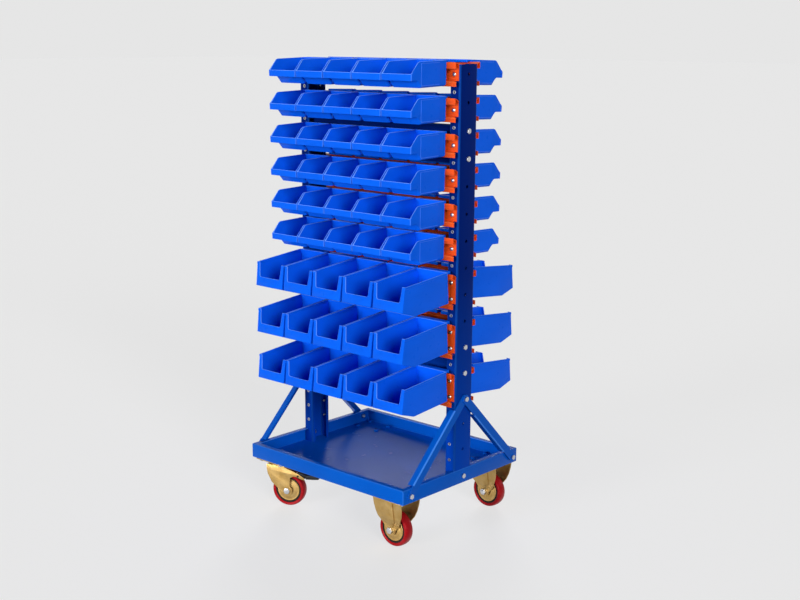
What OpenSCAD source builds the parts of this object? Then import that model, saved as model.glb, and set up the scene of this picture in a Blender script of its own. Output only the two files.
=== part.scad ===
// Two-sided bin trolley: tray on casters, two posts, bent rails and hung plastic bins.
// Millimetres. Origin on the floor under the centre, +Z up, the rows of bins run along X.

/* [Tray] */
// Length of the tray along the rows
tray_l = 600; // [560:5:700]
// Width of the tray, front to rear
tray_w = 500; // [460:5:600]
// Height of the tray walls
tray_h = 42; // [36:1:60]
// Thickness of the tray sheet
tray_sheet = 2; // [1.5:0.25:3]
// Width of the turned-in top edge
tray_lip = 14; // [8:1:24]

/* [Posts] */
// Height of the post tops above the floor
post_top = 1285; // [1267:2:1357]
// Width of a post across its flanges
post_w = 72; // [64:1:84]
// Depth of a post along the rows
post_d = 34; // [30:1:44]
// Thickness of the post sheet
post_sheet = 2; // [1.5:0.25:2.5]
// Width of the lips that close in the open side of a post
post_return = 12; // [8:1:15]
// Outer bend radius of a post
post_bend = 4; // [3:0.5:6]
// Distance from the post top to its first holes
hole_inset = 25.5; // [20:0.5:32]
// Spacing of the holes in the flanges
hole_pitch = 45.5; // [45:0.5:48]
// Number of holes in each flange
hole_count = 24; // [22:1:24]
// Distance of the flange holes from the web's outer face
hole_in = 18.5; // [15:0.5:21]
// Diameter of the holes in the flanges
hole_d = 7; // [6.6:0.2:8]
// Spacing of the holes in the web
web_pitch = 72.8; // [70:0.4:74]
// Number of holes in each web
web_count = 15; // [13:1:15]
// Gap between the tray's top edge and a post that passes through it
notch_gap = 1.5; // [0.5:0.5:4]

/* [Rails] */
// Thickness of the rail sheet
rail_sheet = 1.6; // [1.2:0.1:2]
// Distance of each rail end from the post's outer face
rail_short = 2.5; // [1:0.5:6]
// Height of a small rail
small_rail_h = 62; // [58:1:66]
// Height of a large rail
large_rail_h = 96; // [92:1:102]
// Distance from a small rail's top down to its screw
small_screw_drop = 31; // [29:0.5:33]
// Distance from a large rail's top down to its upper screw
large_screw_drop = 24.5; // [24:0.5:28]
// How far the nose stands out from the post
nose_out = 14; // [12:0.5:16]
// Height of the nose's front face
nose_h = 17; // [14:0.5:17]
// How far the top of the nose slopes down to the post
nose_slope = 7; // [6:0.5:8]
// How far the foot stands out from the post
foot_out = 12.6; // [10:0.2:12.6]
// Height of the foot, with its bend
foot_h = 15; // [12:0.5:17]
// Drop of the bend between the rail's face and its foot
foot_drop = 3; // [2:0.5:5]
// Length of the relief slit at each end of the foot's bend
slit_l = 5; // [3:0.5:8]
// Height of the relief slit
slit_h = 2.4; // [1.6:0.2:3]

/* [Small bins] */
// Spacing of the small bins along a row
small_pitch = 106; // [106:1:112]
// Width of a small bin at its top
small_w = 104.8; // [96:0.2:105.4]
// How much narrower each side is at the bottom
small_draft = 2.6; // [1:0.2:4]
// Length of a small bin from its back to its lip
small_l = 137; // [125:1:150]
// Length of a small bin's top edge
small_top_l = 108; // [95:1:115]
// Length of a small bin's bottom
small_bottom_l = 98; // [88:1:104]
// Distance from a small bin's lip back to the top of its lower front
small_step = 25; // [18:1:28]
// Depth of a small bin below the rail's top
small_drop = 61; // [56:1:62]
// Height of a small bin's rim above the rail's top
small_rise = 5; // [3.5:0.5:7]
// Distance of the lip's lower edge below the rail's top
small_lip_low = 41; // [38:1:46]
// Height of the lip
small_lip_h = 17; // [12:1:20]
// Forward tilt of a hung small bin
small_tilt = 1.8; // [1:0.1:1.8]
// Depth of the shallow panel in each side
panel_depth = 0.8; // [0.4:0.1:1]
// Distance of the panel from the back
panel_from = 26; // [18:1:40]

/* [Large bins] */
// Spacing of the large bins along a row
large_pitch = 114; // [112:1:116]
// Width of a large bin over its rim
large_w = 111; // [104:0.5:111.5]
// How far the rim stands out from each side
large_rim = 1.3; // [0.8:0.1:2]
// Height of the rim
large_rim_h = 6; // [4:0.5:9]
// How much narrower each side is at the bottom
large_draft = 1.2; // [0.5:0.1:3]
// Length of a large bin at the foot of its front
large_l = 186; // [174:1:194]
// Length of a large bin's top edge
large_top_l = 171; // [160:1:176]
// Length of a large bin's bottom
large_bottom_l = 138; // [126:1:148]
// Depth of a large bin below the rail's top
large_drop = 80; // [76:1:82]
// Height of a large bin's rim above the rail's top
large_rise = 6.5; // [4:0.5:8]
// Distance of the front's lower edge below the rail's top
large_front_low = 60; // [54:1:66]
// Distance of the window's sill below the rail's top
sill_low = 34.5; // [30:0.5:40]
// Width of the window at its sill
sill_w = 80; // [70:1:84]
// Width of the window at its top
window_w = 89; // [80:1:92]
// Forward tilt of a hung large bin
large_tilt = 5.5; // [4:0.1:5.6]

/* [Both bins] */
// Thickness of the bin walls
bin_wall = 2.2; // [1.8:0.1:2.6]
// How far the hook reaches behind the nose's front face
hook_in = 9.5; // [8.5:0.1:10]
// Thickness of the hook's turned-down edge
hook_edge = 2; // [1.5:0.1:2.2]
// How far the hook's edge reaches down behind the nose
hook_down = 2.5; // [1.5:0.1:2.8]
// How much narrower the hook is than its bin
hook_short = 10; // [6:1:20]
// Gap between a hung bin and its seats
seat_gap = 0.3; // [0.25:0.05:0.4]

/* [Braces] */
// Width of a brace's flat leg, which carries its bolts
brace_w = 24; // [20:1:32]
// Width of a brace's turned-in leg
brace_leg = 20; // [16:1:30]
// Thickness of a brace
brace_t = 3; // [2:0.5:4]
// Distance of the lower bolts from the tray's corner
brace_inset = 28; // [22:1:40]
// Number of the web hole that holds the braces, counted from the top
brace_hole = 12; // [11:1:12]
// Gap between a brace's turned-in leg and the post or the tray
brace_gap = 4; // [2:0.5:8]

/* [Cross ties] */
// Number of the first web hole of the upper tie, counted from the top
upper_tie_hole = 2; // [1:1:3]
// Number of the first web hole of the lower tie
lower_tie_hole = 10; // [9:1:10]
// Width of a tie's flanges
tie_w = 30; // [24:1:36]
// Thickness of the tie sheet
tie_sheet = 2; // [1.5:0.25:3]
// Width of the plates at a tie's ends
tie_plate_w = 44; // [36:1:50]
// Distance of a tie's edge from its bolt
tie_edge = 14; // [11:0.5:18]

/* [Casters] */
// Height of the tray's underside above the floor
caster_h = 141; // [137:1:151]
// Diameter of a wheel
wheel_d = 100; // [94:1:102]
// Width of a tyre
tyre_w = 30; // [27:1:34]
// Thickness of a tyre
tyre_t = 10.5; // [8:0.5:14]
// Width of the flat strip round a tyre
tread_w = 10; // [8:1:16]
// Width of the black ring that shows outside a disc cover
ring_w = 4; // [3:0.5:6]
// Thickness of a wheel core's web
core_web = 6; // [4:0.5:9]
// Thickness of a disc cover
disc_t = 1.2; // [0.8:0.1:2]
// How far a disc cover stands out round the hub
disc_dish = 3; // [1.5:0.5:4]
// Width of a disc cover's flat round the hub
disc_seat = 8; // [6:0.5:10]
// Height of a disc cover's turned-in edge
disc_edge = 4; // [2:0.5:6]
// Height of the slope at the corner of a disc cover, and lap of the core's web
disc_corner = 1; // [0.5:0.25:1.5]
// Outer radius of a wheel hub
hub_r = 13; // [11:0.5:15]
// Width of the space between a fork's legs
fork_gap = 40; // [38:0.5:44]
// Running gap between a hub and a fork leg
hub_gap = 0.4; // [0.3:0.05:0.8]
// Thickness of a fork's sheet
fork_sheet = 2.5; // [2:0.25:3]
// Thickness of the caster plates
plate_t = 3; // [2.5:0.25:4]
// Length of a caster plate along the rows
plate_l = 104; // [98:1:112]
// Width of a caster plate
plate_w = 85; // [80:1:90]
// Spacing of a caster's bolts along the rows
plate_hole_l = 80; // [76:1:84]
// Spacing of a caster's bolts front to rear
plate_hole_w = 56; // [54:1:60]
// Distance of a caster's centre from the tray's end
caster_end = 64; // [58:1:80]
// Distance of a caster's centre from the tray's side
caster_side = 45; // [44:1:60]
// Diameter of an axle
axle_d = 10; // [8:0.5:12]
// Running clearance on an axle's or king bolt's radius
run_gap = 0.05; // [0.02:0.01:0.1]
// Distance of a fixed fork's legs from its middle at the plate
leg_spread = 39; // [37:0.5:39]
// Distance of a fixed fork's legs from its middle above the wheel
leg_draw = 30; // [27:0.5:34]
// Height of the pressed rib on a fixed fork's leg
rib_out = 2; // [1:0.25:3]
// Width of the pressed rib
rib_w = 40; // [30:1:44]
// Distance of a swivel caster's axle behind its king bolt
trail = 36; // [33:1:40]
// Diameter of a king bolt
king_d = 12; // [10:0.5:14]
// Height of the ball race between a swivel plate and its fork
race_h = 10.7; // [10:0.1:14]
// Radius of the ball race
race_r = 28; // [24:1:30]
// Reach of a swivel fork's wing past its axle
wing_l = 55; // [50:1:62]
// Turn of the front swivel fork at rest
front_turn = 25; // [0:1:60]
// Turn of the rear swivel fork at rest
rear_turn = 0; // [0:1:60]
// Distance of the brake pedal's pin past the axle
pin_l = 34; // [32:1:38]
// Length of the brake pedal from its pin
pedal_l = 68; // [58:1:74]
// Length of the brake pedal's lever, from its pin to its tread
lever_l = 26; // [22:1:30]
// Height of the brake pedal's lever
lever_h = 10; // [8:0.5:12]
// Width of the brake pedal's tread
pedal_w = 54; // [46:1:60]
// Diameter of the brake pedal's pin
pin_d = 6; // [5:0.5:8]
// How far the brake pedal swings down
brake_swing = 20; // [14:1:24]
// Gap left between the brake's toe and the tyre with the pedal down
press_gap = 0.4; // [0.3:0.1:1]

/* [Fasteners] */
// Diameter of the frame and caster bolts
bolt_d = 8; // [6:0.5:8]
// Width of a frame bolt's head across its flats
bolt_af = 13; // [12:0.5:14]
// Height of a frame bolt's head
bolt_head = 5.5; // [4:0.25:6]
// Width of an axle bolt's head across its flats
axle_af = 17; // [15:0.5:19]
// Height of an axle bolt's head
axle_head = 6.4; // [5:0.2:8]
// Diameter of a rail screw
screw_d = 6; // [5:0.2:6.2]
// Diameter of a rail screw's head
screw_head_d = 11.5; // [10:0.5:12.5]
// Height of a rail screw's head
screw_head = 3.6; // [2.5:0.1:4.5]
// Length of a rail screw under its head
screw_l = 12; // [9:0.5:14]
// Clearance of a bolt in its hole, on the radius
bolt_gap = 0.5; // [0.3:0.1:0.8]

/* [Hidden] */
$fn = 48;
eps = 0.01;

// Rows: the flange holes that hold each rail's upper screw, counted from the top
small_holes = [0, 2, 4, 6, 8, 10];
large_holes = [12, 15, 18];
bins_per_row = 5;

// Places that many pieces share
deck_z = caster_h;
floor_z = deck_z + tray_sheet;
post_x = tray_l / 2 - tray_sheet;
flange_y = post_w / 2;
rail_end = post_x - rail_short;
screw_x = post_x - hole_in;
seat_y = flange_y + nose_out;
bolt_z = deck_z + tray_h / 2;
caster_x = tray_l / 2 - caster_end;
caster_y = tray_w / 2 - caster_side;
wheel_r = wheel_d / 2;
axle_z = wheel_r - caster_h;
top_hole_z = post_top - hole_inset;
tab_t = tie_sheet + 1;
foot_back = nose_out - foot_out;
nut_h = 0.8 * bolt_d;

// Height of a flange hole and of a web hole, counted from the top
function flange_hole_z(k) = top_hole_z - k * hole_pitch;
function web_hole_z(k) = top_hole_z - k * web_pitch;
// Height of the top of a small or a large rail whose upper screw is in flange hole k
function small_rail_z(k) = flange_hole_z(k) + small_screw_drop;
function large_rail_z(k) = flange_hole_z(k) + large_screw_drop;

// A path of corner points thickened into the outline of a bent sheet, with mitred bends
function unit(v) = v / norm(v);
function turned_left(v) = [-v[1], v[0]];
function mitre(path, i, d) =
    let (
        last = len(path) - 1,
        along_in = unit(path[max(i, 1)] - path[max(i, 1) - 1]),
        along_out = unit(path[min(i, last - 1) + 1] - path[min(i, last - 1)]),
        n_in = turned_left(along_in),
        n = unit(n_in + turned_left(along_out))
    )
    path[i] + n * d / (n * n_in);
function bent_sheet(path, t) = concat(
    [for (i = [0 : len(path) - 1]) mitre(path, i, t / 2)],
    [for (i = [len(path) - 1 : -1 : 0]) mitre(path, i, -t / 2)]
);

// Extrudes an outline drawn in (Y, Z) along X, centred
module along_x(length) {
    translate([-length / 2, 0, 0]) rotate([90, 0, 90]) linear_extrude(length) children();
}

// Extrudes an outline drawn in (X, Z) along Y, from y0 to y1
module along_y(y0, y1) {
    translate([0, y1, 0]) rotate([90, 0, 0]) linear_extrude(y1 - y0) children();
}

// Rectangle with round corners, centred
module round_rect(l, w, r) {
    square([l - 2 * r, w], center = true);
    square([l, w - 2 * r], center = true);
    for (sx = [-1, 1], sy = [-1, 1]) translate([sx * (l / 2 - r), sy * (w / 2 - r)]) circle(r);
}

// Draws the right-hand piece at the left end
module at_left() { mirror([1, 0, 0]) children(); }
// Draws the front piece at the rear
module at_rear() { mirror([0, 1, 0]) children(); }

// Bolt along +Z: the head lies below z = 0 and the shank above it
module hex_bolt(d, length, af, head) {
    translate([0, 0, -head]) cylinder(d = af / cos(30), h = head, $fn = 6);
    translate([0, 0, -eps]) cylinder(d = d, h = length + eps);
}

// Nut along +Z, from z = 0
module hex_nut(d, af, h) {
    difference() {
        cylinder(d = af / cos(30), h = h, $fn = 6);
        translate([0, 0, -1]) cylinder(r = d / 2 + run_gap, h = h + 2);
    }
}

// Bolt and nut that clamp a stack of the given thickness, along +Z
module bolt_and_nut(grip) {
    hex_bolt(bolt_d, grip + nut_h + 2, bolt_af, bolt_head);
    translate([0, 0, grip]) hex_nut(bolt_d, bolt_af, nut_h);
}

// Hole for a frame bolt, along X through x = 0
module bolt_hole_x(length) {
    rotate([0, 90, 0]) cylinder(r = bolt_d / 2 + bolt_gap, h = length, center = true);
}

// Folded tray with turned-in edges, notched where the posts pass
module tray() {
    inner_l = tray_l - 2 * tray_sheet;
    inner_w = tray_w - 2 * tray_sheet;
    notch = post_d + 2 * notch_gap;
    color("#0a56b4") difference() {
        translate([-tray_l / 2, -tray_w / 2, deck_z]) cube([tray_l, tray_w, tray_h]);
        translate([-inner_l / 2, -inner_w / 2, floor_z]) cube([inner_l, inner_w, tray_h - 2 * tray_sheet]);
        translate([-inner_l / 2 + tray_lip, -inner_w / 2 + tray_lip, floor_z])
            cube([inner_l - 2 * tray_lip, inner_w - 2 * tray_lip, tray_h]);
        for (s = [-1, 1]) {
            translate([s * (post_x - notch / 2), 0, deck_z + tray_h])
                cube([notch, post_w + 2 * notch_gap, 3 * tray_sheet], center = true);
            for (y = [-1, 0, 1])
                translate([s * tray_l / 2, y * (tray_w / 2 - brace_inset), bolt_z])
                    bolt_hole_x(6 * tray_sheet);
            for (t = [-1, 1], dx = [-1, 1], dy = [-1, 1])
                translate([
                    s * caster_x + dx * plate_hole_l / 2,
                    t * caster_y + dy * plate_hole_w / 2,
                    deck_z - 1
                ]) cylinder(r = bolt_d / 2 + bolt_gap, h = tray_sheet + 2);
        }
    }
}

// Lipped channel with its open side towards the middle
module right_post() {
    height = post_top - floor_z;
    color("#0a3f8c") difference() {
        translate([post_x - post_d / 2, 0, floor_z]) linear_extrude(height) difference() {
            round_rect(post_d, post_w, post_bend);
            round_rect(post_d - 2 * post_sheet, post_w - 2 * post_sheet, post_bend - post_sheet);
            translate([-post_d / 2, 0]) square([4 * post_sheet, post_w - 2 * post_return], center = true);
        }
        for (k = [0 : hole_count - 1]) translate([screw_x, 0, flange_hole_z(k)])
            rotate([90, 0, 0]) cylinder(d = hole_d, h = 2 * post_w, center = true);
        for (k = [0 : web_count - 1]) translate([post_x, 0, web_hole_z(k)]) bolt_hole_x(4 * post_sheet);
        translate([post_x, 0, bolt_z]) bolt_hole_x(4 * post_sheet);
    }
}

module left_post() { at_left() right_post(); }

// Channel with a bolted plate at each end, from web hole k to the next
module tie(k) {
    span = 2 * (post_x - post_sheet);
    height = web_pitch + 2 * tie_edge;
    middle_z = (web_hole_z(k) + web_hole_z(k + 1)) / 2;
    color("#0a3f8c") difference() {
        translate([0, 0, middle_z]) union() {
            along_x(span - tab_t) translate([-tie_w / 2, -height / 2]) difference() {
                square([tie_w, height]);
                translate([tie_sheet, tie_sheet]) square([tie_w, height - 2 * tie_sheet]);
            }
            for (s = [-1, 1]) translate([s * (span - tab_t) / 2, 0, 0])
                cube([tab_t, tie_plate_w, height], center = true);
        }
        for (s = [-1, 1], i = [0, 1]) translate([s * span / 2, 0, web_hole_z(k + i)]) bolt_hole_x(4 * tab_t);
    }
}

module upper_tie() { tie(upper_tie_hole); }
module lower_tie() { tie(lower_tie_hole); }

// Angle from the lower bolt on the tray up to the post, drawn for the right front corner,
// with the inner face of its flat leg at the given X and its turned-in leg on the upper edge (1)
// or on the lower edge (-1)
module brace(face_x, edge) {
    low = [-(tray_w / 2 - brace_inset), bolt_z];
    high = [0, web_hole_z(brace_hole)];
    run = norm(high - low);
    slope = atan2(high[1] - low[1], high[0] - low[0]);
    half = brace_w / 2;
    leg_low = edge > 0 ? half - brace_t : -half;
    // The turned-in leg starts clear of the tray's top edge and ends clear of the post
    leg_from = (tray_h / 2 + brace_gap - leg_low * cos(slope)) / sin(slope);
    leg_to = (-low[0] - flange_y - brace_gap) / cos(slope) + leg_low * tan(slope);
    color("#0a4aa8") translate([face_x, low[0], low[1]]) rotate([slope, 0, 0]) difference() {
        union() {
            translate([0, 0, -half]) cube([brace_t, run, brace_w]);
            for (y = [0, run]) translate([0, y, 0]) rotate([0, 90, 0]) cylinder(r = half, h = brace_t);
            translate([brace_t - brace_leg, leg_from, leg_low])
                cube([brace_leg, leg_to - leg_from, brace_t]);
        }
        for (y = [0, run]) translate([0, y, 0]) bolt_hole_x(4 * brace_t);
    }
}

module right_front_brace() { brace(tray_l / 2, 1); }
module right_rear_brace() { at_rear() brace(tray_l / 2 + brace_t, -1); }
module left_front_brace() { at_left() right_front_brace(); }
module left_rear_brace() { at_left() right_rear_brace(); }

// Washers that pack out the braces: one at each post and one under each rear brace
module brace_washers() {
    color("silver") for (s = [0, 1]) mirror([s, 0, 0]) {
        translate([post_x, 0, web_hole_z(brace_hole)]) washer_x(tray_l / 2 - post_x);
        translate([tray_l / 2, tray_w / 2 - brace_inset, bolt_z]) washer_x(brace_t);
    }
}

// Washer along +X
module washer_x(t) {
    rotate([0, 90, 0]) difference() {
        cylinder(r = bolt_d, h = t);
        translate([0, 0, -1]) cylinder(r = bolt_d / 2 + bolt_gap, h = t + 2);
    }
}

// Bolts of the braces and of the post feet
module frame_bolts() {
    color("gainsboro") for (s = [0, 1]) mirror([s, 0, 0]) {
        translate([tray_l / 2, 0, bolt_z]) rotate([0, -90, 0]) bolt_and_nut(tray_sheet + post_sheet);
        translate([tray_l / 2 + brace_t, brace_inset - tray_w / 2, bolt_z])
            rotate([0, -90, 0]) bolt_and_nut(brace_t + tray_sheet);
        translate([tray_l / 2 + 2 * brace_t, tray_w / 2 - brace_inset, bolt_z])
            rotate([0, -90, 0]) bolt_and_nut(2 * brace_t + tray_sheet);
        translate([tray_l / 2 + 2 * brace_t, 0, web_hole_z(brace_hole)])
            rotate([0, -90, 0]) bolt_and_nut(tray_l / 2 + 2 * brace_t - post_x + post_sheet);
    }
}

// Bolts that hold the cross ties in the webs
module tie_bolts() {
    color("gainsboro") for (s = [0, 1], k = [upper_tie_hole, lower_tie_hole], i = [0, 1])
        mirror([s, 0, 0]) translate([post_x, 0, web_hole_z(k + i)])
            rotate([0, -90, 0]) bolt_and_nut(post_sheet + tab_t);
}

// Front rail of height h with its top at z = 0: hollow nose, face on the post, foot below
module rail(h) {
    t = rail_sheet;
    path = [
        [2 * t + seat_gap, t / 2 - nose_h],
        [nose_out - t / 2, t / 2 - nose_h],
        [nose_out - t / 2, -t],
        [t / 2, -nose_slope],
        [t / 2, foot_h - h],
        [foot_out - t / 2, foot_h - foot_drop - h],
        [foot_out - t / 2, -h]
    ];
    outline = [for (p = bent_sheet(path, t)) [-flange_y - p[0], p[1]]];
    difference() {
        along_x(2 * rail_end) polygon(outline);
        for (s = [-1, 1]) {
            translate([s * rail_end, -seat_y + t, foot_h - foot_drop / 2 - h])
                cube([2 * slit_l, 2 * nose_out - 4 * t, slit_h], center = true);
            children();
        }
    }
}

// Holes for a rail's screws, at the given distances below the rail's top
module screw_holes(drops) {
    for (s = [-1, 1], drop = drops) translate([s * screw_x, -flange_y, -drop])
        rotate([90, 0, 0]) cylinder(d = hole_d, h = 4 * rail_sheet, center = true);
}

module small_rails() {
    color("#f0561c") for (k = small_holes) translate([0, 0, small_rail_z(k)])
        rail(small_rail_h) screw_holes([small_screw_drop]);
}

module large_rails() {
    color("#f0561c") for (k = large_holes) translate([0, 0, large_rail_z(k)])
        rail(large_rail_h) screw_holes([large_screw_drop, large_screw_drop + hole_pitch]);
}

module front_small_rails() { small_rails(); }
module rear_small_rails() { at_rear() small_rails(); }
module front_large_rails() { large_rails(); }
module rear_large_rails() { at_rear() large_rails(); }

// Round-headed screws through the rails into the post flanges
module rail_screws() {
    holes = concat(small_holes, large_holes, [for (k = large_holes) k + 1]);
    color("gainsboro") for (sx = [-1, 1], sy = [0, 1], k = holes)
        mirror([0, sy, 0]) translate([sx * screw_x, -flange_y - rail_sheet, flange_hole_z(k)])
            rotate([-90, 0, 0]) {
                translate([0, 0, -eps]) cylinder(d = screw_d, h = screw_l + eps);
                intersection() {
                    translate([0, 0, -screw_head]) cylinder(d = screw_head_d, h = screw_head);
                    translate([0, 0, screw_dome_r() - screw_head]) sphere(screw_dome_r());
                }
            }
}

// Radius of the dome of a rail screw's head
function screw_dome_r() = (pow(screw_head_d / 2, 2) + pow(screw_head, 2)) / (2 * screw_head);

// Distance of a hung bin's back from the nose's face, so that its lower edge rests on the foot
function bin_back(drop, tilt) =
    max((seat_gap - foot_back + drop * sin(tilt)) / cos(tilt), seat_gap + nose_h * tan(tilt));

// Hook of a bin: a ledge over the rail's nose with a turned-down edge behind it
module bin_hook(width, back, rise) {
    along_x(width - hook_short) polygon([
        [-back - bin_wall / 2, 0],
        [hook_in - hook_edge, 0],
        [hook_in - hook_edge, -hook_down],
        [hook_in, -hook_down],
        [hook_in, rise],
        [-back - bin_wall / 2, rise]
    ]);
}

// Outline across a bin, with sloping sides, drawn in (X, Z)
module bin_cross(half, draft, drop, rise) {
    polygon([[-half, rise], [draft - half, -drop], [half - draft, -drop], [half, rise]]);
}

// Small bin with a sloping open front, a lip and a drawn-in lower front
module small_bin() {
    back = bin_back(small_drop, small_tilt);
    half = small_w / 2;
    far = back + small_l;
    step = far - small_step;
    lip_top = small_lip_h - small_lip_low;
    w = bin_wall;
    rise = small_drop - small_lip_low;
    lean = w * rise / norm([step - back - small_bottom_l, rise]);
    difference() {
        union() {
            intersection() {
                along_x(small_w) polygon([
                    [-back, small_rise], [-back, -small_drop], [-back - small_bottom_l, -small_drop],
                    [-step, -small_lip_low], [-far, -small_lip_low], [-far, lip_top],
                    [-back - small_top_l, small_rise]
                ]);
                along_y(-far - 1, 1) bin_cross(half, small_draft, small_drop, small_rise);
            }
            translate([-half, -far, -small_lip_low]) cube([small_w, 2 * w, small_lip_h]);
        }
        intersection() {
            along_x(small_w) polygon([
                [-back - w, small_rise + 1], [-back - w, w - small_drop],
                [lean - back - small_bottom_l, w - small_drop], [lean - step, w - small_lip_low],
                [w - far, w - small_lip_low], [w - far, small_rise + 1]
            ]);
            along_y(-far, 1) bin_cross(half - w, small_draft, small_drop, small_rise + 1);
        }
        for (s = [0, 1]) mirror([s, 0, 0]) side_panel(back, half);
    }
    bin_hook(small_w, back, small_rise);
}

// Shallow upright panel let into the side of a small bin
module side_panel(back, half) {
    lean = atan(small_draft / (small_drop + small_rise));
    translate([half - panel_depth, -back - small_bottom_l, small_rise])
        rotate([0, lean, 0]) translate([0, 0, -2 * small_drop])
            cube([4 * panel_depth, small_bottom_l - panel_from, 2 * small_drop - panel_top()]);
}

// Height of the plain band above a small bin's side panel
function panel_top() = 2 * bin_wall;

// Large bin with a window in its front, a rim and a bevelled lower front
module large_bin() {
    back = bin_back(large_drop, large_tilt);
    half = large_w / 2 - large_rim;
    far = back + large_l;
    w = bin_wall;
    front_lean = (large_l - large_top_l) / (large_front_low + large_rise);
    bevel = atan2(large_drop - large_front_low, large_l - large_bottom_l);
    top_y = -back - large_top_l;
    outline = [
        [-back, large_rise], [-back, -large_drop], [-back - large_bottom_l, -large_drop],
        [-far, -large_front_low], [top_y, large_rise]
    ];
    difference() {
        union() {
            intersection() {
                along_x(large_w) polygon(outline);
                along_y(-far - 1, 1) bin_cross(half, large_draft, large_drop, large_rise);
            }
            intersection() {
                along_x(large_w) polygon(outline);
                translate([-large_w / 2, top_y, large_rise - large_rim_h])
                    cube([large_w, large_top_l, large_rim_h]);
            }
        }
        intersection() {
            along_x(large_w) polygon([
                [-back - w, large_rise + 1],
                [-back - w, w - large_drop],
                [w * tan(bevel / 2) - back - large_bottom_l, w - large_drop],
                [1.2 * w - far, w / 2 - large_front_low],
                [1.1 * w + top_y + front_lean, large_rise + 1]
            ]);
            along_y(-far, 1) bin_cross(half - w, large_draft, large_drop, large_rise + 1);
        }
        along_y(-far - 1, top_y + 4 * w) polygon([
            [-sill_w / 2, -sill_low], [sill_w / 2, -sill_low],
            [window_w / 2, large_rise + 1], [-window_w / 2, large_rise + 1]
        ]);
    }
    bin_hook(large_w, back, large_rise);
}

// Five bins hung on the front rail whose top is at the given height
module hung_row(pitch, tilt, z) {
    for (i = [0 : bins_per_row - 1]) translate([(i - (bins_per_row - 1) / 2) * pitch, -seat_y, z])
        rotate([tilt, 0, 0]) children();
}

module small_row(i) {
    color("#1c5fe0") hung_row(small_pitch, small_tilt, small_rail_z(small_holes[i])) small_bin();
}

module large_row(i) {
    color("#1c5fe0") hung_row(large_pitch, large_tilt, large_rail_z(large_holes[i])) large_bin();
}

// Places a caster drawn under the tray's right front corner, king bolt or centre on the Z axis
module at_caster(left, rear) {
    translate([(left ? -1 : 1) * caster_x, (rear ? 1 : -1) * caster_y, deck_z]) children();
}

// Bolted top plate of a caster, hanging from z = 0
module caster_plate() {
    difference() {
        translate([0, 0, -plate_t]) linear_extrude(plate_t) round_rect(plate_l, plate_w, 2 * plate_t);
        for (dx = [-1, 1], dy = [-1, 1])
            translate([dx * plate_hole_l / 2, dy * plate_hole_w / 2, -plate_t - 1])
                cylinder(r = bolt_d / 2 + bolt_gap, h = plate_t + 2);
    }
}

// Radius of the round end of a fork's leg
function leg_foot_r() = hub_r + fork_sheet;

// Outline of a fixed fork's leg, drawn in (X, Z)
module fixed_leg_outline() {
    top = plate_l / 2 - fork_sheet / 2;
    foot = 0.95 * leg_foot_r();
    polygon([
        [-top, 0], [-0.99 * top, 0.22 * axle_z], [-0.92 * top, 0.44 * axle_z], [-0.78 * top, 0.64 * axle_z],
        [-0.58 * top, 0.82 * axle_z], [-foot, axle_z], [foot, axle_z], [0.58 * top, 0.82 * axle_z],
        [0.78 * top, 0.64 * axle_z], [0.92 * top, 0.44 * axle_z], [0.99 * top, 0.22 * axle_z], [top, 0]
    ]);
    translate([0, axle_z]) circle(leg_foot_r());
}

// Path of a fixed fork's leg in (Y, Z), shifted outwards: drawn in from the plate's edge to the hub
function leg_path(out) = [
    [leg_spread + out, -plate_t / 2],
    [leg_draw + out, 0.6 * axle_z],
    [fork_gap / 2 + fork_sheet / 2 + out, 0.82 * axle_z],
    [fork_gap / 2 + fork_sheet / 2 + out, 1.3 * axle_z]
];

// Upright rib outline, drawn in (X, Z), narrowing to its foot at the axle
module rib_outline(width) {
    polygon([
        [-width / 2, -plate_t / 2], [-width / 2, 0.62 * axle_z], [-width / 4, 0.86 * axle_z],
        [width / 4, 0.86 * axle_z], [width / 2, 0.62 * axle_z], [width / 2, -plate_t / 2]
    ]);
}

// Band of sheet that follows a fixed leg's path inside an outline drawn in (X, Z)
module leg_band(out, t) {
    intersection() {
        along_x(2 * plate_l) polygon(bent_sheet(leg_path(out), t));
        along_y(0, plate_w) children();
    }
}

// Fixed fork: a plate and two drawn-in legs with a pressed rib and a boss at the axle
module fixed_fork() {
    outer = fork_gap / 2 + fork_sheet;
    color("#c9a35c") difference() {
        union() {
            caster_plate();
            for (s = [0, 1]) mirror([0, s, 0]) difference() {
                union() {
                    leg_band(0, fork_sheet) fixed_leg_outline();
                    leg_band(rib_out, fork_sheet) rib_outline(rib_w);
                    translate([0, outer + rib_out, axle_z]) rotate([90, 0, 0])
                        cylinder(r = hub_r, h = rib_out + eps);
                }
                leg_band(rib_out - fork_sheet, fork_sheet) rib_outline(rib_w - 2 * fork_sheet);
            }
        }
        translate([0, 0, axle_z]) rotate([90, 0, 0])
            cylinder(r = axle_d / 2 + run_gap, h = 3 * fork_gap, center = true);
    }
}

// Axle bolt and nut of a fork whose legs are the given distance from its middle, drawn along Y at the origin
module axle(leg_face) {
    color("gainsboro") {
        translate([0, -leg_face, 0]) rotate([-90, 0, 0]) {
            hex_bolt(axle_d, 2 * leg_face + 0.8 * axle_d + 2, axle_af, axle_head);
            translate([0, 0, 2 * leg_face]) hex_nut(axle_d, axle_af, 0.8 * axle_d);
        }
    }
}

// Wheel pieces are drawn round the Y axis at the origin
module round_y() { rotate([90, 0, 0]) rotate_extrude($fn = 96) children(); }

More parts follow.
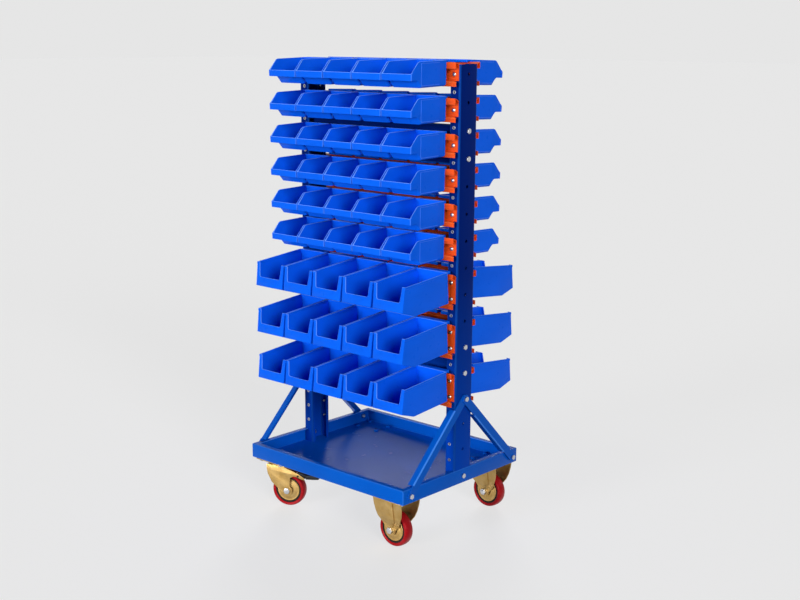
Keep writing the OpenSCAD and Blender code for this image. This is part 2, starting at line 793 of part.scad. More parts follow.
// Black core: rim, web and hub
module wheel_core() {
    rim_r = wheel_r - tyre_t - run_gap;
    rim_half = tyre_w / 2 - 2;
    hub_half = fork_gap / 2 - hub_gap;
    bore = axle_d / 2 + run_gap;
    color("#161616") round_y() {
        translate([bore, -hub_half]) square([hub_r - bore, 2 * hub_half]);
        translate([hub_r - disc_corner, -core_web / 2])
            square([rim_r - ring_w - hub_r + 2 * disc_corner, core_web]);
        translate([rim_r - ring_w, -rim_half]) square([ring_w, 2 * rim_half]);
    }
}

// Red tyre with rounded shoulders and a flat strip
module tyre() {
    inner = wheel_r - tyre_t;
    half = tyre_w / 2;
    color("#c01f22") round_y() polygon([
        [inner, 2 - half], [inner + 0.4 * tyre_t, -half], [wheel_r - 0.35 * tyre_t, 1.5 - half],
        [wheel_r - 0.1 * tyre_t, 5 - half], [wheel_r, -tread_w / 2],
        [wheel_r, tread_w / 2], [wheel_r - 0.1 * tyre_t, half - 5],
        [wheel_r - 0.35 * tyre_t, half - 1.5], [inner + 0.4 * tyre_t, half], [inner, half - 2]
    ]);
}

// Pressed disc covers, one on each face of the core, that grip the hub and meet the rim
module disc_covers() {
    outer = wheel_r - tyre_t - ring_w - 2 * run_gap;
    face = tyre_w / 2 - 2;
    color("#c8a552") for (s = [0, 1]) mirror([0, s, 0]) round_y() polygon([
        [hub_r + run_gap, face + disc_dish - disc_t], [hub_r + disc_seat, face + disc_dish - disc_t],
        [outer, face - disc_corner - disc_edge], [outer, face - disc_corner], [outer - 3 * disc_corner, face],
        [hub_r + disc_seat + disc_corner, face + disc_dish], [hub_r + run_gap, face + disc_dish]
    ]);
}

// Swivel plate with the upper half of its ball race
module swivel_plate() {
    color("#c9a35c") difference() {
        union() {
            caster_plate();
            translate([0, 0, -plate_t - race_h]) cylinder(r1 = race_r - 4, r2 = race_r, h = race_h);
        }
        translate([0, 0, -caster_h]) cylinder(r = king_d / 2 + run_gap, h = 2 * caster_h);
        translate([0, 0, -king_head()]) cylinder(d = king_af() / cos(30) + 1, h = king_head() + 1);
    }
}

// Height and width of a king bolt's head, sunk in the swivel plate
function king_head() = plate_t + 4;
function king_af() = 1.5 * king_d;
// Height of the top of a swivel fork
function head_z() = -plate_t - race_h - hub_gap;

// King bolt with its nut under the fork's head
module king_bolt() {
    low = head_z() - fork_sheet - hub_gap;
    color("gainsboro") {
        translate([0, 0, -king_head()]) mirror([0, 0, 1]) {
            cylinder(d = king_d, h = -low - king_head() + 0.7 * king_d + 2);
            mirror([0, 0, 1]) cylinder(d = king_af() / cos(30), h = king_head() - 1, $fn = 6);
        }
        translate([0, 0, low]) mirror([0, 0, 1]) hex_nut(king_d, king_af(), 0.7 * king_d);
    }
}

// Outline of a swivel fork's leg with the wing over its wheel, drawn in (X, Z)
module swivel_leg_outline() {
    top = head_z();
    tip = trail + wing_l;
    foot = 0.95 * leg_foot_r();
    polygon([
        [-race_r - 1, top], [-race_r, 0.33 * axle_z], [-0.9 * race_r, 0.48 * axle_z],
        [-0.47 * race_r, 0.75 * axle_z], [trail - 2 * foot, 0.95 * axle_z], [trail - foot, axle_z],
        [trail + foot, axle_z], [trail + 0.5 * foot, 0.86 * axle_z], [trail + 0.6 * foot, 0.56 * axle_z],
        [trail + 0.36 * wing_l, 0.5 * axle_z], [trail + 0.56 * wing_l, 0.51 * axle_z],
        [trail + 0.78 * wing_l, 0.565 * axle_z], [tip - 2, 0.59 * axle_z], [tip, 0.53 * axle_z],
        [trail + 0.65 * wing_l, 0.4 * axle_z], [trail + 0.28 * wing_l, 0.31 * axle_z],
        [race_r + 1, 0.23 * axle_z], [race_r - 3, top]
    ]);
    translate([trail, axle_z]) circle(leg_foot_r());
}

// Place of the brake pedal's pin on the wings
pin_x = trail + pin_l;
pin_z = 0.47 * axle_z;

// Swivel fork: a round head and two winged legs
module swivel_fork() {
    inner = fork_gap / 2;
    width = fork_gap + 2 * fork_sheet;
    color("#c9a35c") difference() {
        union() {
            translate([0, 0, head_z() - fork_sheet]) intersection() {
                cylinder(r = race_r + 1, h = fork_sheet);
                translate([0, 0, fork_sheet / 2]) cube([4 * race_r, width, 2 * fork_sheet], center = true);
            }
            for (s = [0, 1]) mirror([0, s, 0])
                along_y(inner, inner + fork_sheet) swivel_leg_outline();
        }
        translate([0, 0, -caster_h]) cylinder(r = king_d / 2 + run_gap, h = caster_h);
        translate([trail, 0, axle_z]) rotate([90, 0, 0])
            cylinder(r = axle_d / 2 + run_gap, h = 2 * width, center = true);
        translate([pin_x, 0, pin_z]) rotate([90, 0, 0])
            cylinder(r = pin_d / 2 + run_gap, h = 2 * width, center = true);
    }
}

// Brake pedal: a lever between the wings with a cam toe over the tyre, a wide tread and its pin
module brake_pedal() {
    half = fork_gap / 2 - hub_gap;
    over = fork_gap / 2 + fork_sheet + 2;
    // The toe meets the tyre when the pedal has swung down by brake_swing
    aim = atan2(axle_z - pin_z, trail - pin_x) + brake_swing;
    reach = norm([pin_x - trail, pin_z - axle_z]) - wheel_r - press_gap;
    color("#1a1a1a") translate([pin_x, 0, pin_z]) {
        along_y(-half, half) polygon([
            [-pin_d, 0.7 * lever_h], [-1.2 * pin_d, 0], [-pin_d, -0.4 * lever_h],
            reach * [cos(aim + 3), sin(aim + 3)], reach * [cos(aim + 16), sin(aim + 16)],
            [pin_d, -0.7 * lever_h], [lever_l, -0.6 * lever_h], [lever_l, 0.6 * lever_h],
            [0.6 * pin_d, 0.9 * lever_h]
        ]);
        along_y(-pedal_w / 2, pedal_w / 2) polygon([
            [lever_l, 0.6 * lever_h], [lever_l, -0.6 * lever_h], [0.7 * pedal_l, -0.5 * lever_h],
            [0.97 * pedal_l, -0.3 * lever_h], [pedal_l, 0.2 * lever_h], [0.95 * pedal_l, 0.5 * lever_h],
            [0.65 * pedal_l, 0.75 * lever_h]
        ]);
        rotate([90, 0, 0]) cylinder(d = pin_d, h = 2 * over, center = true);
    }
}

// Draws a swivel piece turned to its fork's rest position
module swivelled(rear) {
    at_caster(true, rear) rotate([0, 0, rear ? rear_turn : front_turn]) children();
}

// Draws a wheel piece at a swivel fork's axle
module at_trail() { translate([trail, 0, axle_z]) children(); }
// Draws a wheel piece at a fixed fork's axle
module at_fixed_axle(rear) { at_caster(false, rear) translate([0, 0, axle_z]) children(); }

module right_front_fork() { at_caster(false, false) fixed_fork(); }
module right_rear_fork() { at_caster(false, true) fixed_fork(); }
module fixed_axles() {
    face = fork_gap / 2 + fork_sheet + rib_out;
    at_fixed_axle(false) axle(face);
    at_fixed_axle(true) mirror([0, 1, 0]) axle(face);
}
module right_front_core() { at_fixed_axle(false) wheel_core(); }
module right_rear_core() { at_fixed_axle(true) wheel_core(); }
module right_front_tyre() { at_fixed_axle(false) tyre(); }
module right_rear_tyre() { at_fixed_axle(true) tyre(); }
module right_front_discs() { at_fixed_axle(false) disc_covers(); }
module right_rear_discs() { at_fixed_axle(true) disc_covers(); }

module swivel_plates() { for (rear = [false, true]) at_caster(true, rear) swivel_plate(); }
module king_bolts() { for (rear = [false, true]) at_caster(true, rear) king_bolt(); }
module left_front_fork() { swivelled(false) swivel_fork(); }
module left_rear_fork() { swivelled(true) swivel_fork(); }
module left_front_axle() { swivelled(false) at_trail() axle(fork_gap / 2 + fork_sheet); }
module left_rear_axle() { swivelled(true) at_trail() mirror([0, 1, 0]) axle(fork_gap / 2 + fork_sheet); }
module left_front_core() { swivelled(false) at_trail() wheel_core(); }
module left_rear_core() { swivelled(true) at_trail() wheel_core(); }
module left_front_tyre() { swivelled(false) at_trail() tyre(); }
module left_rear_tyre() { swivelled(true) at_trail() tyre(); }
module left_front_discs() { swivelled(false) at_trail() disc_covers(); }
module left_rear_discs() { swivelled(true) at_trail() disc_covers(); }
module left_front_pedal() { swivelled(false) brake_pedal(); }
module left_rear_pedal() { swivelled(true) brake_pedal(); }

// Bolts that hold the caster plates to the tray, heads up
module caster_bolts() {
    color("gainsboro")
    for (left = [false, true], rear = [false, true], dx = [-1, 1], dy = [-1, 1])
        at_caster(left, rear) translate([dx * plate_hole_l / 2, dy * plate_hole_w / 2, tray_sheet])
            mirror([0, 0, 1]) bolt_and_nut(tray_sheet + plate_t);
}

tray();
left_post();
right_post();
upper_tie();
lower_tie();
left_front_brace();
left_rear_brace();
right_front_brace();
right_rear_brace();
brace_washers();
frame_bolts();
tie_bolts();
rail_screws();
caster_bolts();
front_small_rails();
rear_small_rails();
front_large_rails();
rear_large_rails();
small_row(0);  // front_row_1
small_row(1);  // front_row_2
small_row(2);  // front_row_3
small_row(3);  // front_row_4
small_row(4);  // front_row_5
small_row(5);  // front_row_6
large_row(0);  // front_row_7
large_row(1);  // front_row_8
large_row(2);  // front_row_9
at_rear() small_row(0);  // rear_row_1
at_rear() small_row(1);  // rear_row_2
at_rear() small_row(2);  // rear_row_3
at_rear() small_row(3);  // rear_row_4
at_rear() small_row(4);  // rear_row_5
at_rear() small_row(5);  // rear_row_6
at_rear() large_row(0);  // rear_row_7
at_rear() large_row(1);  // rear_row_8
at_rear() large_row(2);  // rear_row_9
right_front_fork();
right_rear_fork();
fixed_axles();
right_front_core();
right_rear_core();
right_front_tyre();
right_rear_tyre();
right_front_discs();
right_rear_discs();
swivel_plates();
king_bolts();
left_front_fork();
left_rear_fork();
left_front_axle();
left_rear_axle();
left_front_core();
left_rear_core();
left_front_tyre();
left_rear_tyre();
left_front_discs();
left_rear_discs();
left_front_pedal();
left_rear_pedal();
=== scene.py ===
"""Looks of a two-sided bin trolley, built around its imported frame.

Shapes are made in millimetres and become metres when they turn into objects. The front
faces -Y, the fixed casters are at the right end (+X) and the swivel casters at the left.
"""

from __future__ import annotations

import logging
import math
from dataclasses import dataclass
from enum import Enum
from typing import Callable, Iterable, Sequence

import bmesh
import bpy
from mathutils import Matrix, Vector

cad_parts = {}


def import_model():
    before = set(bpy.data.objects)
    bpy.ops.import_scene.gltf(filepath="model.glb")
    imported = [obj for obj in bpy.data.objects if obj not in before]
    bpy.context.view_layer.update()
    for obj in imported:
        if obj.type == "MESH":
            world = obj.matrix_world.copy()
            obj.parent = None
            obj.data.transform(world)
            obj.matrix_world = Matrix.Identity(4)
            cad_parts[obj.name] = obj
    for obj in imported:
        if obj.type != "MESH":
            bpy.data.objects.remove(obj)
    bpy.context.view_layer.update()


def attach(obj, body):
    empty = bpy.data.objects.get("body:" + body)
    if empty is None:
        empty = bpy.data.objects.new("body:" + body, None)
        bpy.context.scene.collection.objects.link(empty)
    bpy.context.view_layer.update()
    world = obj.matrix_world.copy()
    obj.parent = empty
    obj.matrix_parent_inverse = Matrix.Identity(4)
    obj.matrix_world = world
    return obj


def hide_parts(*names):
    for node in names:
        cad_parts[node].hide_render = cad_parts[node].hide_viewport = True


LOG = logging.getLogger("bin_trolley")
FRAME = "frame"
# Face attribute for painted highlights: rims, bends and relief borders marked in it get a lighter
# colour that stands in for the gloss they catch.
EDGE = "painted_highlight"
MM = 0.001
MERGE = 1e-4
FACING = 0.9
SHARP_DEGREES = 35.0
SMOOTH_DEGREES = 32.0
# How much painted highlight the sloping border of a raised panel gets.
RELIEF_HIGHLIGHT = 0.4
X_AXIS = Vector((1.0, 0.0, 0.0))
Y_AXIS = Vector((0.0, 1.0, 0.0))
Z_AXIS = Vector((0.0, 0.0, 1.0))
HERE = Matrix.Identity(4)
FULL_RANGE = (0.0, 1.0)
NOISE_RANGE = (0.3, 0.7)

Point2 = tuple[float, float]
Point3 = tuple[float, float, float]
Colour = tuple[float, float, float]
Socket = bpy.types.NodeSocket
Edge = bmesh.types.BMEdge
Face = bmesh.types.BMFace
Vert = bmesh.types.BMVert


class Plane(Enum):
    """The plane that an outline is drawn in; it is extruded along the third axis."""

    XY = 0
    XZ = 1
    YZ = 2

    def place(self, a: float, b: float, depth: float) -> Vector:
        """Returns the point of an outline at a depth along the third axis."""
        return Vector(((a, b, depth), (a, depth, b), (depth, a, b))[self.value])

    @property
    def normal(self) -> Vector:
        """The axis that outlines in this plane are extruded along."""
        return self.place(0.0, 0.0, 1.0)


class Side(Enum):
    """The two faces of the trolley."""

    FRONT = "front"
    REAR = "rear"

    @property
    def turn(self) -> Matrix:
        """Half a turn about Z for the rear, and none for the front."""
        return quarter("Z", 2.0 if self is Side.REAR else 0.0)

    @property
    def sign(self) -> float:
        """-1 at the front and +1 at the rear."""
        return 1.0 if self is Side.REAR else -1.0


class End(Enum):
    """The two ends of the trolley."""

    RIGHT = "right"
    LEFT = "left"

    @property
    def sign(self) -> float:
        """+1 at the right and -1 at the left."""
        return 1.0 if self is End.RIGHT else -1.0

    @property
    def mirror(self) -> Matrix:
        """A mirror along X for the left, and none for the right."""
        return flip(X_AXIS, self.sign)


class Finish(Enum):
    """The finishes, each named as its material slot."""

    BIN_PLASTIC = "bin_plastic"
    FRAME_PAINT = "frame_paint"
    POST_PAINT = "post_paint"
    RAIL_PAINT = "rail_paint"
    GOLD_ZINC = "gold_zinc"
    BRIGHT_STEEL = "bright_steel"
    BLACK_PLASTIC = "black_plastic"
    RED_TYRE = "red_tyre"


def quarter(axis: str, turns: float = 1.0) -> Matrix:
    """Returns a turn about an axis, counted in quarter turns."""
    return Matrix.Rotation(turns * math.pi / 2, 4, axis)


def flip(axis: Vector, sign: float = -1.0) -> Matrix:
    """Returns a mirror along an axis, which a sign of 1 leaves out."""
    return Matrix.Scale(sign, 4, axis)


def arc(centre: Point2, radius: float, start: float, stop: float, steps: int) -> list[Point2]:
    """Lays points along an arc.

    Args:
        centre: The arc's centre.
        radius: Its radius.
        start: The angle of its first point, in degrees.
        stop: The angle of its last point, in degrees.
        steps: The number of steps between them.

    Returns:
        The points, with both ends.
    """
    angles = [math.radians(start + (stop - start) * k / steps) for k in range(steps + 1)]
    x, y = centre
    return [(x + radius * math.cos(a), y + radius * math.sin(a)) for a in angles]


def both_halves(upper: Sequence[Point2]) -> list[Point2]:
    """Returns the closed profile of a turned shape that is the same below z = 0 as above."""
    return [(r, -h) for r, h in upper] + [(r, h) for r, h in reversed(upper)]


def offset_path(path: Sequence[Point2], distance: float) -> list[Point2]:
    """Shifts a path of corner points sideways, with mitred corners.

    Args:
        path: The corner points, in order.
        distance: How far to shift to the left of the path.

    Returns:
        The shifted points.
    """
    points = [Vector(p) for p in path]
    steps = [(b - a).normalized() for a, b in zip(points, points[1:])]
    shifted = []
    for i, point in enumerate(points):
        before = steps[max(i - 1, 0)]
        after = steps[min(i, len(steps) - 1)]
        left = Vector((-before.y, before.x))
        mitre = (left + Vector((-after.y, after.x))).normalized()
        shifted.append(tuple(point + mitre * (distance / mitre.dot(left))))
    return shifted


def link(name: str, data: bpy.types.ID) -> bpy.types.Object:
    """Puts a mesh, lamp or camera into the scene.

    Args:
        name: The new object's name.
        data: What it shows.

    Returns:
        The new object, at the origin.
    """
    thing = bpy.data.objects.new(name, data)
    bpy.context.scene.collection.objects.link(thing)
    return thing


class Shape:
    """A mesh in the making, in millimetres. Most methods return the shape itself."""

    def __init__(self) -> None:
        """Starts an empty mesh whose faces can be marked for a painted edge highlight."""
        self.bm = bmesh.new()
        self.bm.faces.layers.float.new(EDGE)

    def prism(self, outline: Sequence[Point2], plane: Plane, low: float, high: float) -> Shape:
        """Adds an outline extruded from one depth to another.

        Args:
            outline: The corners, in order.
            plane: The plane they are drawn in.
            low: The depth of the first face.
            high: The depth of the last face.

        Returns:
            This shape.
        """
        face = self.bm.faces.new([self.bm.verts.new(plane.place(a, b, low)) for a, b in outline])
        grown = bmesh.ops.extrude_face_region(self.bm, geom=[face])["geom"]
        self._shift(grown, plane.normal * (high - low))
        return self.recalc()

    def sheet(
        self, path: Sequence[Point2], plane: Plane, span: Point2, thick: float, bend: float
    ) -> Shape:
        """Adds a bent sheet whose mid-line follows a path.

        Args:
            path: The mid-line's corners.
            plane: The plane they are drawn in.
            span: The lowest and highest depth of the sheet.
            thick: The sheet's thickness.
            bend: The radius of its bends, which are marked for a painted highlight.

        Returns:
            This shape.
        """
        part = Shape()
        bm = part.bm
        shifted = offset_path(path, thick / 2)
        line = [bm.verts.new(plane.place(a, b, span[0])) for a, b in shifted]
        edges = [bm.edges.new(pair) for pair in zip(line, line[1:])]
        grown = bmesh.ops.extrude_edge_only(bm, edges=edges)["geom"]
        part._shift(grown, plane.normal * (span[1] - span[0]))
        bm.normal_update()
        part.bevel([e for e in bm.edges if len(e.link_faces) == 2], bend, segments=4, edge_highlight=1.0)
        bm.normal_update()
        inward = -thick if plane is Plane.XZ else thick
        bmesh.ops.solidify(bm, geom=bm.faces[:], thickness=inward)
        return self.add(part.recalc())

    def trough(
        self, profile: Sequence[Point2], half: Callable[[float], float]
    ) -> tuple[list[Vert], list[Vert]]:
        """Adds two sides and the walls between them, open past the last point but one.

        Args:
            profile: The sides' corners: distance to the front, and height.
            half: Half the width between the sides at a height.

        Returns:
            The corners of the left and of the right side.
        """
        left, right = (
            [self.bm.verts.new((s * half(z), -a, z)) for a, z in profile] for s in (-1.0, 1.0)
        )
        for loop in (left, right):
            self.bm.faces.new(loop)
        for i in range(len(profile) - 2):
            self.bm.faces.new((left[i], left[i + 1], right[i + 1], right[i]))
        return left, right

    def box(self, low: Sequence[float], high: Sequence[float]) -> Shape:
        """Adds a box.

        Args:
            low: Its lowest corner.
            high: Its highest corner.

        Returns:
            This shape.
        """
        centre = [(a + b) / 2 for a, b in zip(low, high)]
        size = [b - a for a, b in zip(low, high)]
        place = Matrix.Translation(centre) @ Matrix.Diagonal((*size, 1.0))
        bmesh.ops.create_cube(self.bm, size=1.0, matrix=place)
        return self

    def rod(self, radius: float, low: float, high: float, place: Matrix, sides: int = 24) -> Shape:
        """Adds a cylinder along its own Z axis.

        Args:
            radius: Its radius.
            low: The height of its lower end.
            high: The height of its upper end.
            place: Where its origin goes.
            sides: The number of its sides.

        Returns:
            This shape.
        """
        centre = place @ Matrix.Translation((0.0, 0.0, (low + high) / 2))
        bmesh.ops.create_cone(
            self.bm, cap_ends=True, segments=sides, radius1=radius, radius2=radius,
            depth=high - low, matrix=centre,
        )
        return self

    def lathe(
        self, profile: Sequence[Point2], place: Matrix, steps: int, closed: bool = True
    ) -> Shape:
        """Adds a profile of (radius, height) points spun about the Z axis of a place.

        Args:
            profile: The points, from the bottom up on an open profile.
            place: Where the spun shape goes.
            steps: The number of steps in the full turn.
            closed: Whether the last point joins the first.

        Returns:
            This shape.
        """
        part = Shape()
        bm = part.bm
        line = [bm.verts.new((r, 0.0, h)) for r, h in profile]
        ends = line[1:] + line[:1] if closed else line[1:]
        edges = [bm.edges.new(pair) for pair in zip(line, ends)]
        bmesh.ops.spin(
            bm, geom=line + edges, cent=(0, 0, 0), axis=Z_AXIS, dvec=(0, 0, 0),
            angle=2.0 * math.pi, steps=steps, use_merge=True, use_duplicate=False,
        )
        bmesh.ops.remove_doubles(bm, verts=bm.verts[:], dist=MERGE)
        return self.add(part.recalc().transform(place))

    def add(self, other: Shape) -> Shape:
        """Adds a copy of another shape.

        Args:
            other: The shape to copy.

        Returns:
            This shape.
        """
        mesh = other._mesh("part")
        self.bm.from_mesh(mesh)
        bpy.data.meshes.remove(mesh)
        return self

    def copy(self) -> Shape:
        """Returns a copy of this shape."""
        return Shape().add(self)

    def transform(self, matrix: Matrix) -> Shape:
        """Moves the whole shape, and turns its faces back out after a mirror.

        Args:
            matrix: The move.

        Returns:
            This shape.
        """
        bmesh.ops.transform(self.bm, matrix=matrix, verts=self.bm.verts[:])
        if matrix.determinant() < 0:
            bmesh.ops.reverse_faces(self.bm, faces=self.bm.faces[:])
        return self

    def placed(self, matrix: Matrix) -> Shape:
        """Returns a copy of this shape, moved."""
        return self.copy().transform(matrix)

    def recalc(self) -> Shape:
        """Turns all the faces outwards and returns this shape."""
        bmesh.ops.recalc_face_normals(self.bm, faces=self.bm.faces[:])
        return self

    def face_down(self) -> Shape:
        """Turns the faces of a shell that is open at the top outwards.

        Returns:
            This shape.
        """
        self.recalc()
        if sum(f.normal.z * f.calc_area() for f in self.bm.faces) > 0:
            bmesh.ops.reverse_faces(self.bm, faces=self.bm.faces[:])
        return self

    def folds(self, degrees: float) -> list[Edge]:
        """Returns the edges where two faces meet at more than an angle."""
        pairs = [e for e in self.bm.edges if len(e.link_faces) == 2]
        return [e for e in pairs if e.calc_face_angle(0.0) > math.radians(degrees)]

    def flanks(self) -> list[Face]:
        """Finds the faces that look out to the left and right.

        Returns:
            The faces.
        """
        self.bm.normal_update()
        upright = [f for f in self.bm.faces if abs(f.normal.x) > FACING]
        return [f for f in upright if f.normal.x * f.calc_center_median().x > 0.0]

    def bevel(self, edges: Iterable[Edge], width: float, segments: int, edge_highlight: float = 0.0) -> Shape:
        """Rounds some edges.

        Args:
            edges: The edges.
            width: How far they are rounded.
            segments: The steps of the round.
            edge_highlight: How much painted highlight the rounds are marked with, up to 1.

        Returns:
            This shape.
        """
        rounds = self._round(edges, width, segments, "EDGES")
        return self.mark_highlight(rounds, edge_highlight) if edge_highlight else self

    def soften(self, width: float, segments: int = 2) -> Shape:
        """Rounds every sharp edge and returns this shape."""
        return self.bevel(self.folds(SHARP_DEGREES), width, segments)

    def fillet(self, corners: Iterable[Vert], width: float, segments: int) -> Shape:
        """Rounds corners of flat faces in their own plane and returns this shape."""
        self._round(corners, width, segments, "VERTICES")
        return self

    def mark_highlight(self, faces: Iterable[Face], amount: float = 1.0) -> Shape:
        """Marks faces for a painted edge highlight.

        Args:
            faces: The faces.
            amount: How much, up to 1.

        Returns:
            This shape.
        """
        layer = self.bm.faces.layers.float[EDGE]
        for face in faces:
            face[layer] = amount
        return self

    def thicken(self, wall: float, rim: float) -> Shape:
        """Gives an open surface a wall on its inner side, and marks the rim band between its faces
        for a painted highlight.

        Args:
            wall: The wall's thickness.
            rim: How far the edges of its rim are rounded, or 0 for a sharp rim.

        Returns:
            This shape.
        """
        self.bm.normal_update()
        outer = set(self.bm.faces)
        grown = bmesh.ops.solidify(self.bm, geom=self.bm.faces[:], thickness=wall)["geom"]
        inner = {g for g in grown if isinstance(g, Face)}
        self.recalc()
        band = {f for f in self.bm.faces if f not in outer and f not in inner}
        edges = {e for f in band for e in f.edges if sum(g in band for g in e.link_faces) == 1}
        self.mark_highlight(band)
        return self.bevel(edges, rim, segments=3, edge_highlight=1.0) if rim else self

    def score(self, faces: Iterable[Face], point: Vector, normal: Vector) -> Shape:
        """Cuts faces in two along a plane.

        Args:
            faces: The faces.
            point: A point of the plane.
            normal: The plane's normal.

        Returns:
            This shape.
        """
        chosen = list(faces)
        edges = [e for f in chosen for e in f.edges]
        corners = [v for f in chosen for v in f.verts]
        geom = list({*chosen, *edges, *corners})
        bmesh.ops.bisect_plane(self.bm, geom=geom, plane_co=point, plane_no=normal)
        self.bm.normal_update()
        return self

    def relief(self, faces: Iterable[Face], border: float, height: float) -> Shape:
        """Raises each face above its border, and gives the sloping border some painted highlight.

        Args:
            faces: The faces.
            border: The width of the sloping border.
            height: How far the faces are raised.

        Returns:
            This shape.
        """
        borders = bmesh.ops.inset_individual(
            self.bm, faces=list(faces), thickness=border, depth=height, use_even_offset=True
        )["faces"]
        return self.mark_highlight(borders, RELIEF_HIGHLIGHT)

    def cut(self, cutter: Shape) -> Shape:
        """Takes a cutter's volume away from this shape.

        Args:
            cutter: The shape that is taken away.

        Returns:
            This shape.
        """
        body = link("cut_body", self._mesh("cut_body"))
        tool = link("cut_tool", cutter._mesh("cut_tool"))
        modifier = body.modifiers.new("cut", "BOOLEAN")
        modifier.operation = "DIFFERENCE"
        modifier.solver = "EXACT"
        modifier.object = tool
        bpy.context.view_layer.update()
        result = body.evaluated_get(bpy.context.evaluated_depsgraph_get()).to_mesh()
        self.bm.clear()
        self.bm.from_mesh(result)
        for thing in (body, tool):
            mesh = thing.data
            bpy.data.objects.remove(thing)
            bpy.data.meshes.remove(mesh)
        return self

    def to_object(self, name: str, finish: bpy.types.Material) -> bpy.types.Object:
        """Turns the shape into an object in metres at the origin.

        Args:
            name: The object's name.
            finish: Its material.

        Returns:
            The new object.
        """
        bmesh.ops.remove_doubles(self.bm, verts=self.bm.verts[:], dist=MERGE)
        bmesh.ops.scale(self.bm, vec=(MM, MM, MM), verts=self.bm.verts[:])
        for face in self.bm.faces:
            face.smooth = True
        smooth = math.radians(SMOOTH_DEGREES)
        for edge in self.bm.edges:
            edge.smooth = len(edge.link_faces) == 2 and edge.calc_face_angle(0.0) < smooth
        mesh = self._mesh(name)
        self.bm.free()
        mesh.materials.append(finish)
        return link(name, mesh)

    def _mesh(self, name: str) -> bpy.types.Mesh:
        """Makes a mesh of this shape, still in millimetres.

        Args:
            name: The mesh's name.

        Returns:
            The new mesh.
        """
        mesh = bpy.data.meshes.new(name)
        self.bm.to_mesh(mesh)
        return mesh

    def _shift(self, grown: Iterable[object], vec: Vector) -> None:
        """Moves the corners among newly grown geometry."""
        bmesh.ops.translate(self.bm, verts=[g for g in grown if isinstance(g, Vert)], vec=vec)

    def _round(
        self, geom: Iterable[Edge | Vert], width: float, segments: int, affect: str
    ) -> list[Face]:
        """Rounds edges or corners.

        Args:
            geom: The edges or corners.
            width: How far they are rounded.
            segments: The steps of the round.
            affect: EDGES or VERTICES.

        Returns:
            The faces of the rounds.
        """
        return bmesh.ops.bevel(
            self.bm, geom=list(geom), offset=width, offset_type="OFFSET", segments=segments,
            profile=0.5, affect=affect, clamp_overlap=True, material=-1,
        )["faces"]


@dataclass(frozen=True)
class Noise:
    """A noise pattern: repeats per metre, octaves, and scale along each axis."""

    scale: float
    detail: float
    stretch: Point3 = (1.0, 1.0, 1.0)


@dataclass(frozen=True)
class Relief:
    """A fine relief: its pattern, its strength and its height in metres."""

    pattern: Noise
    strength: float
    height: float


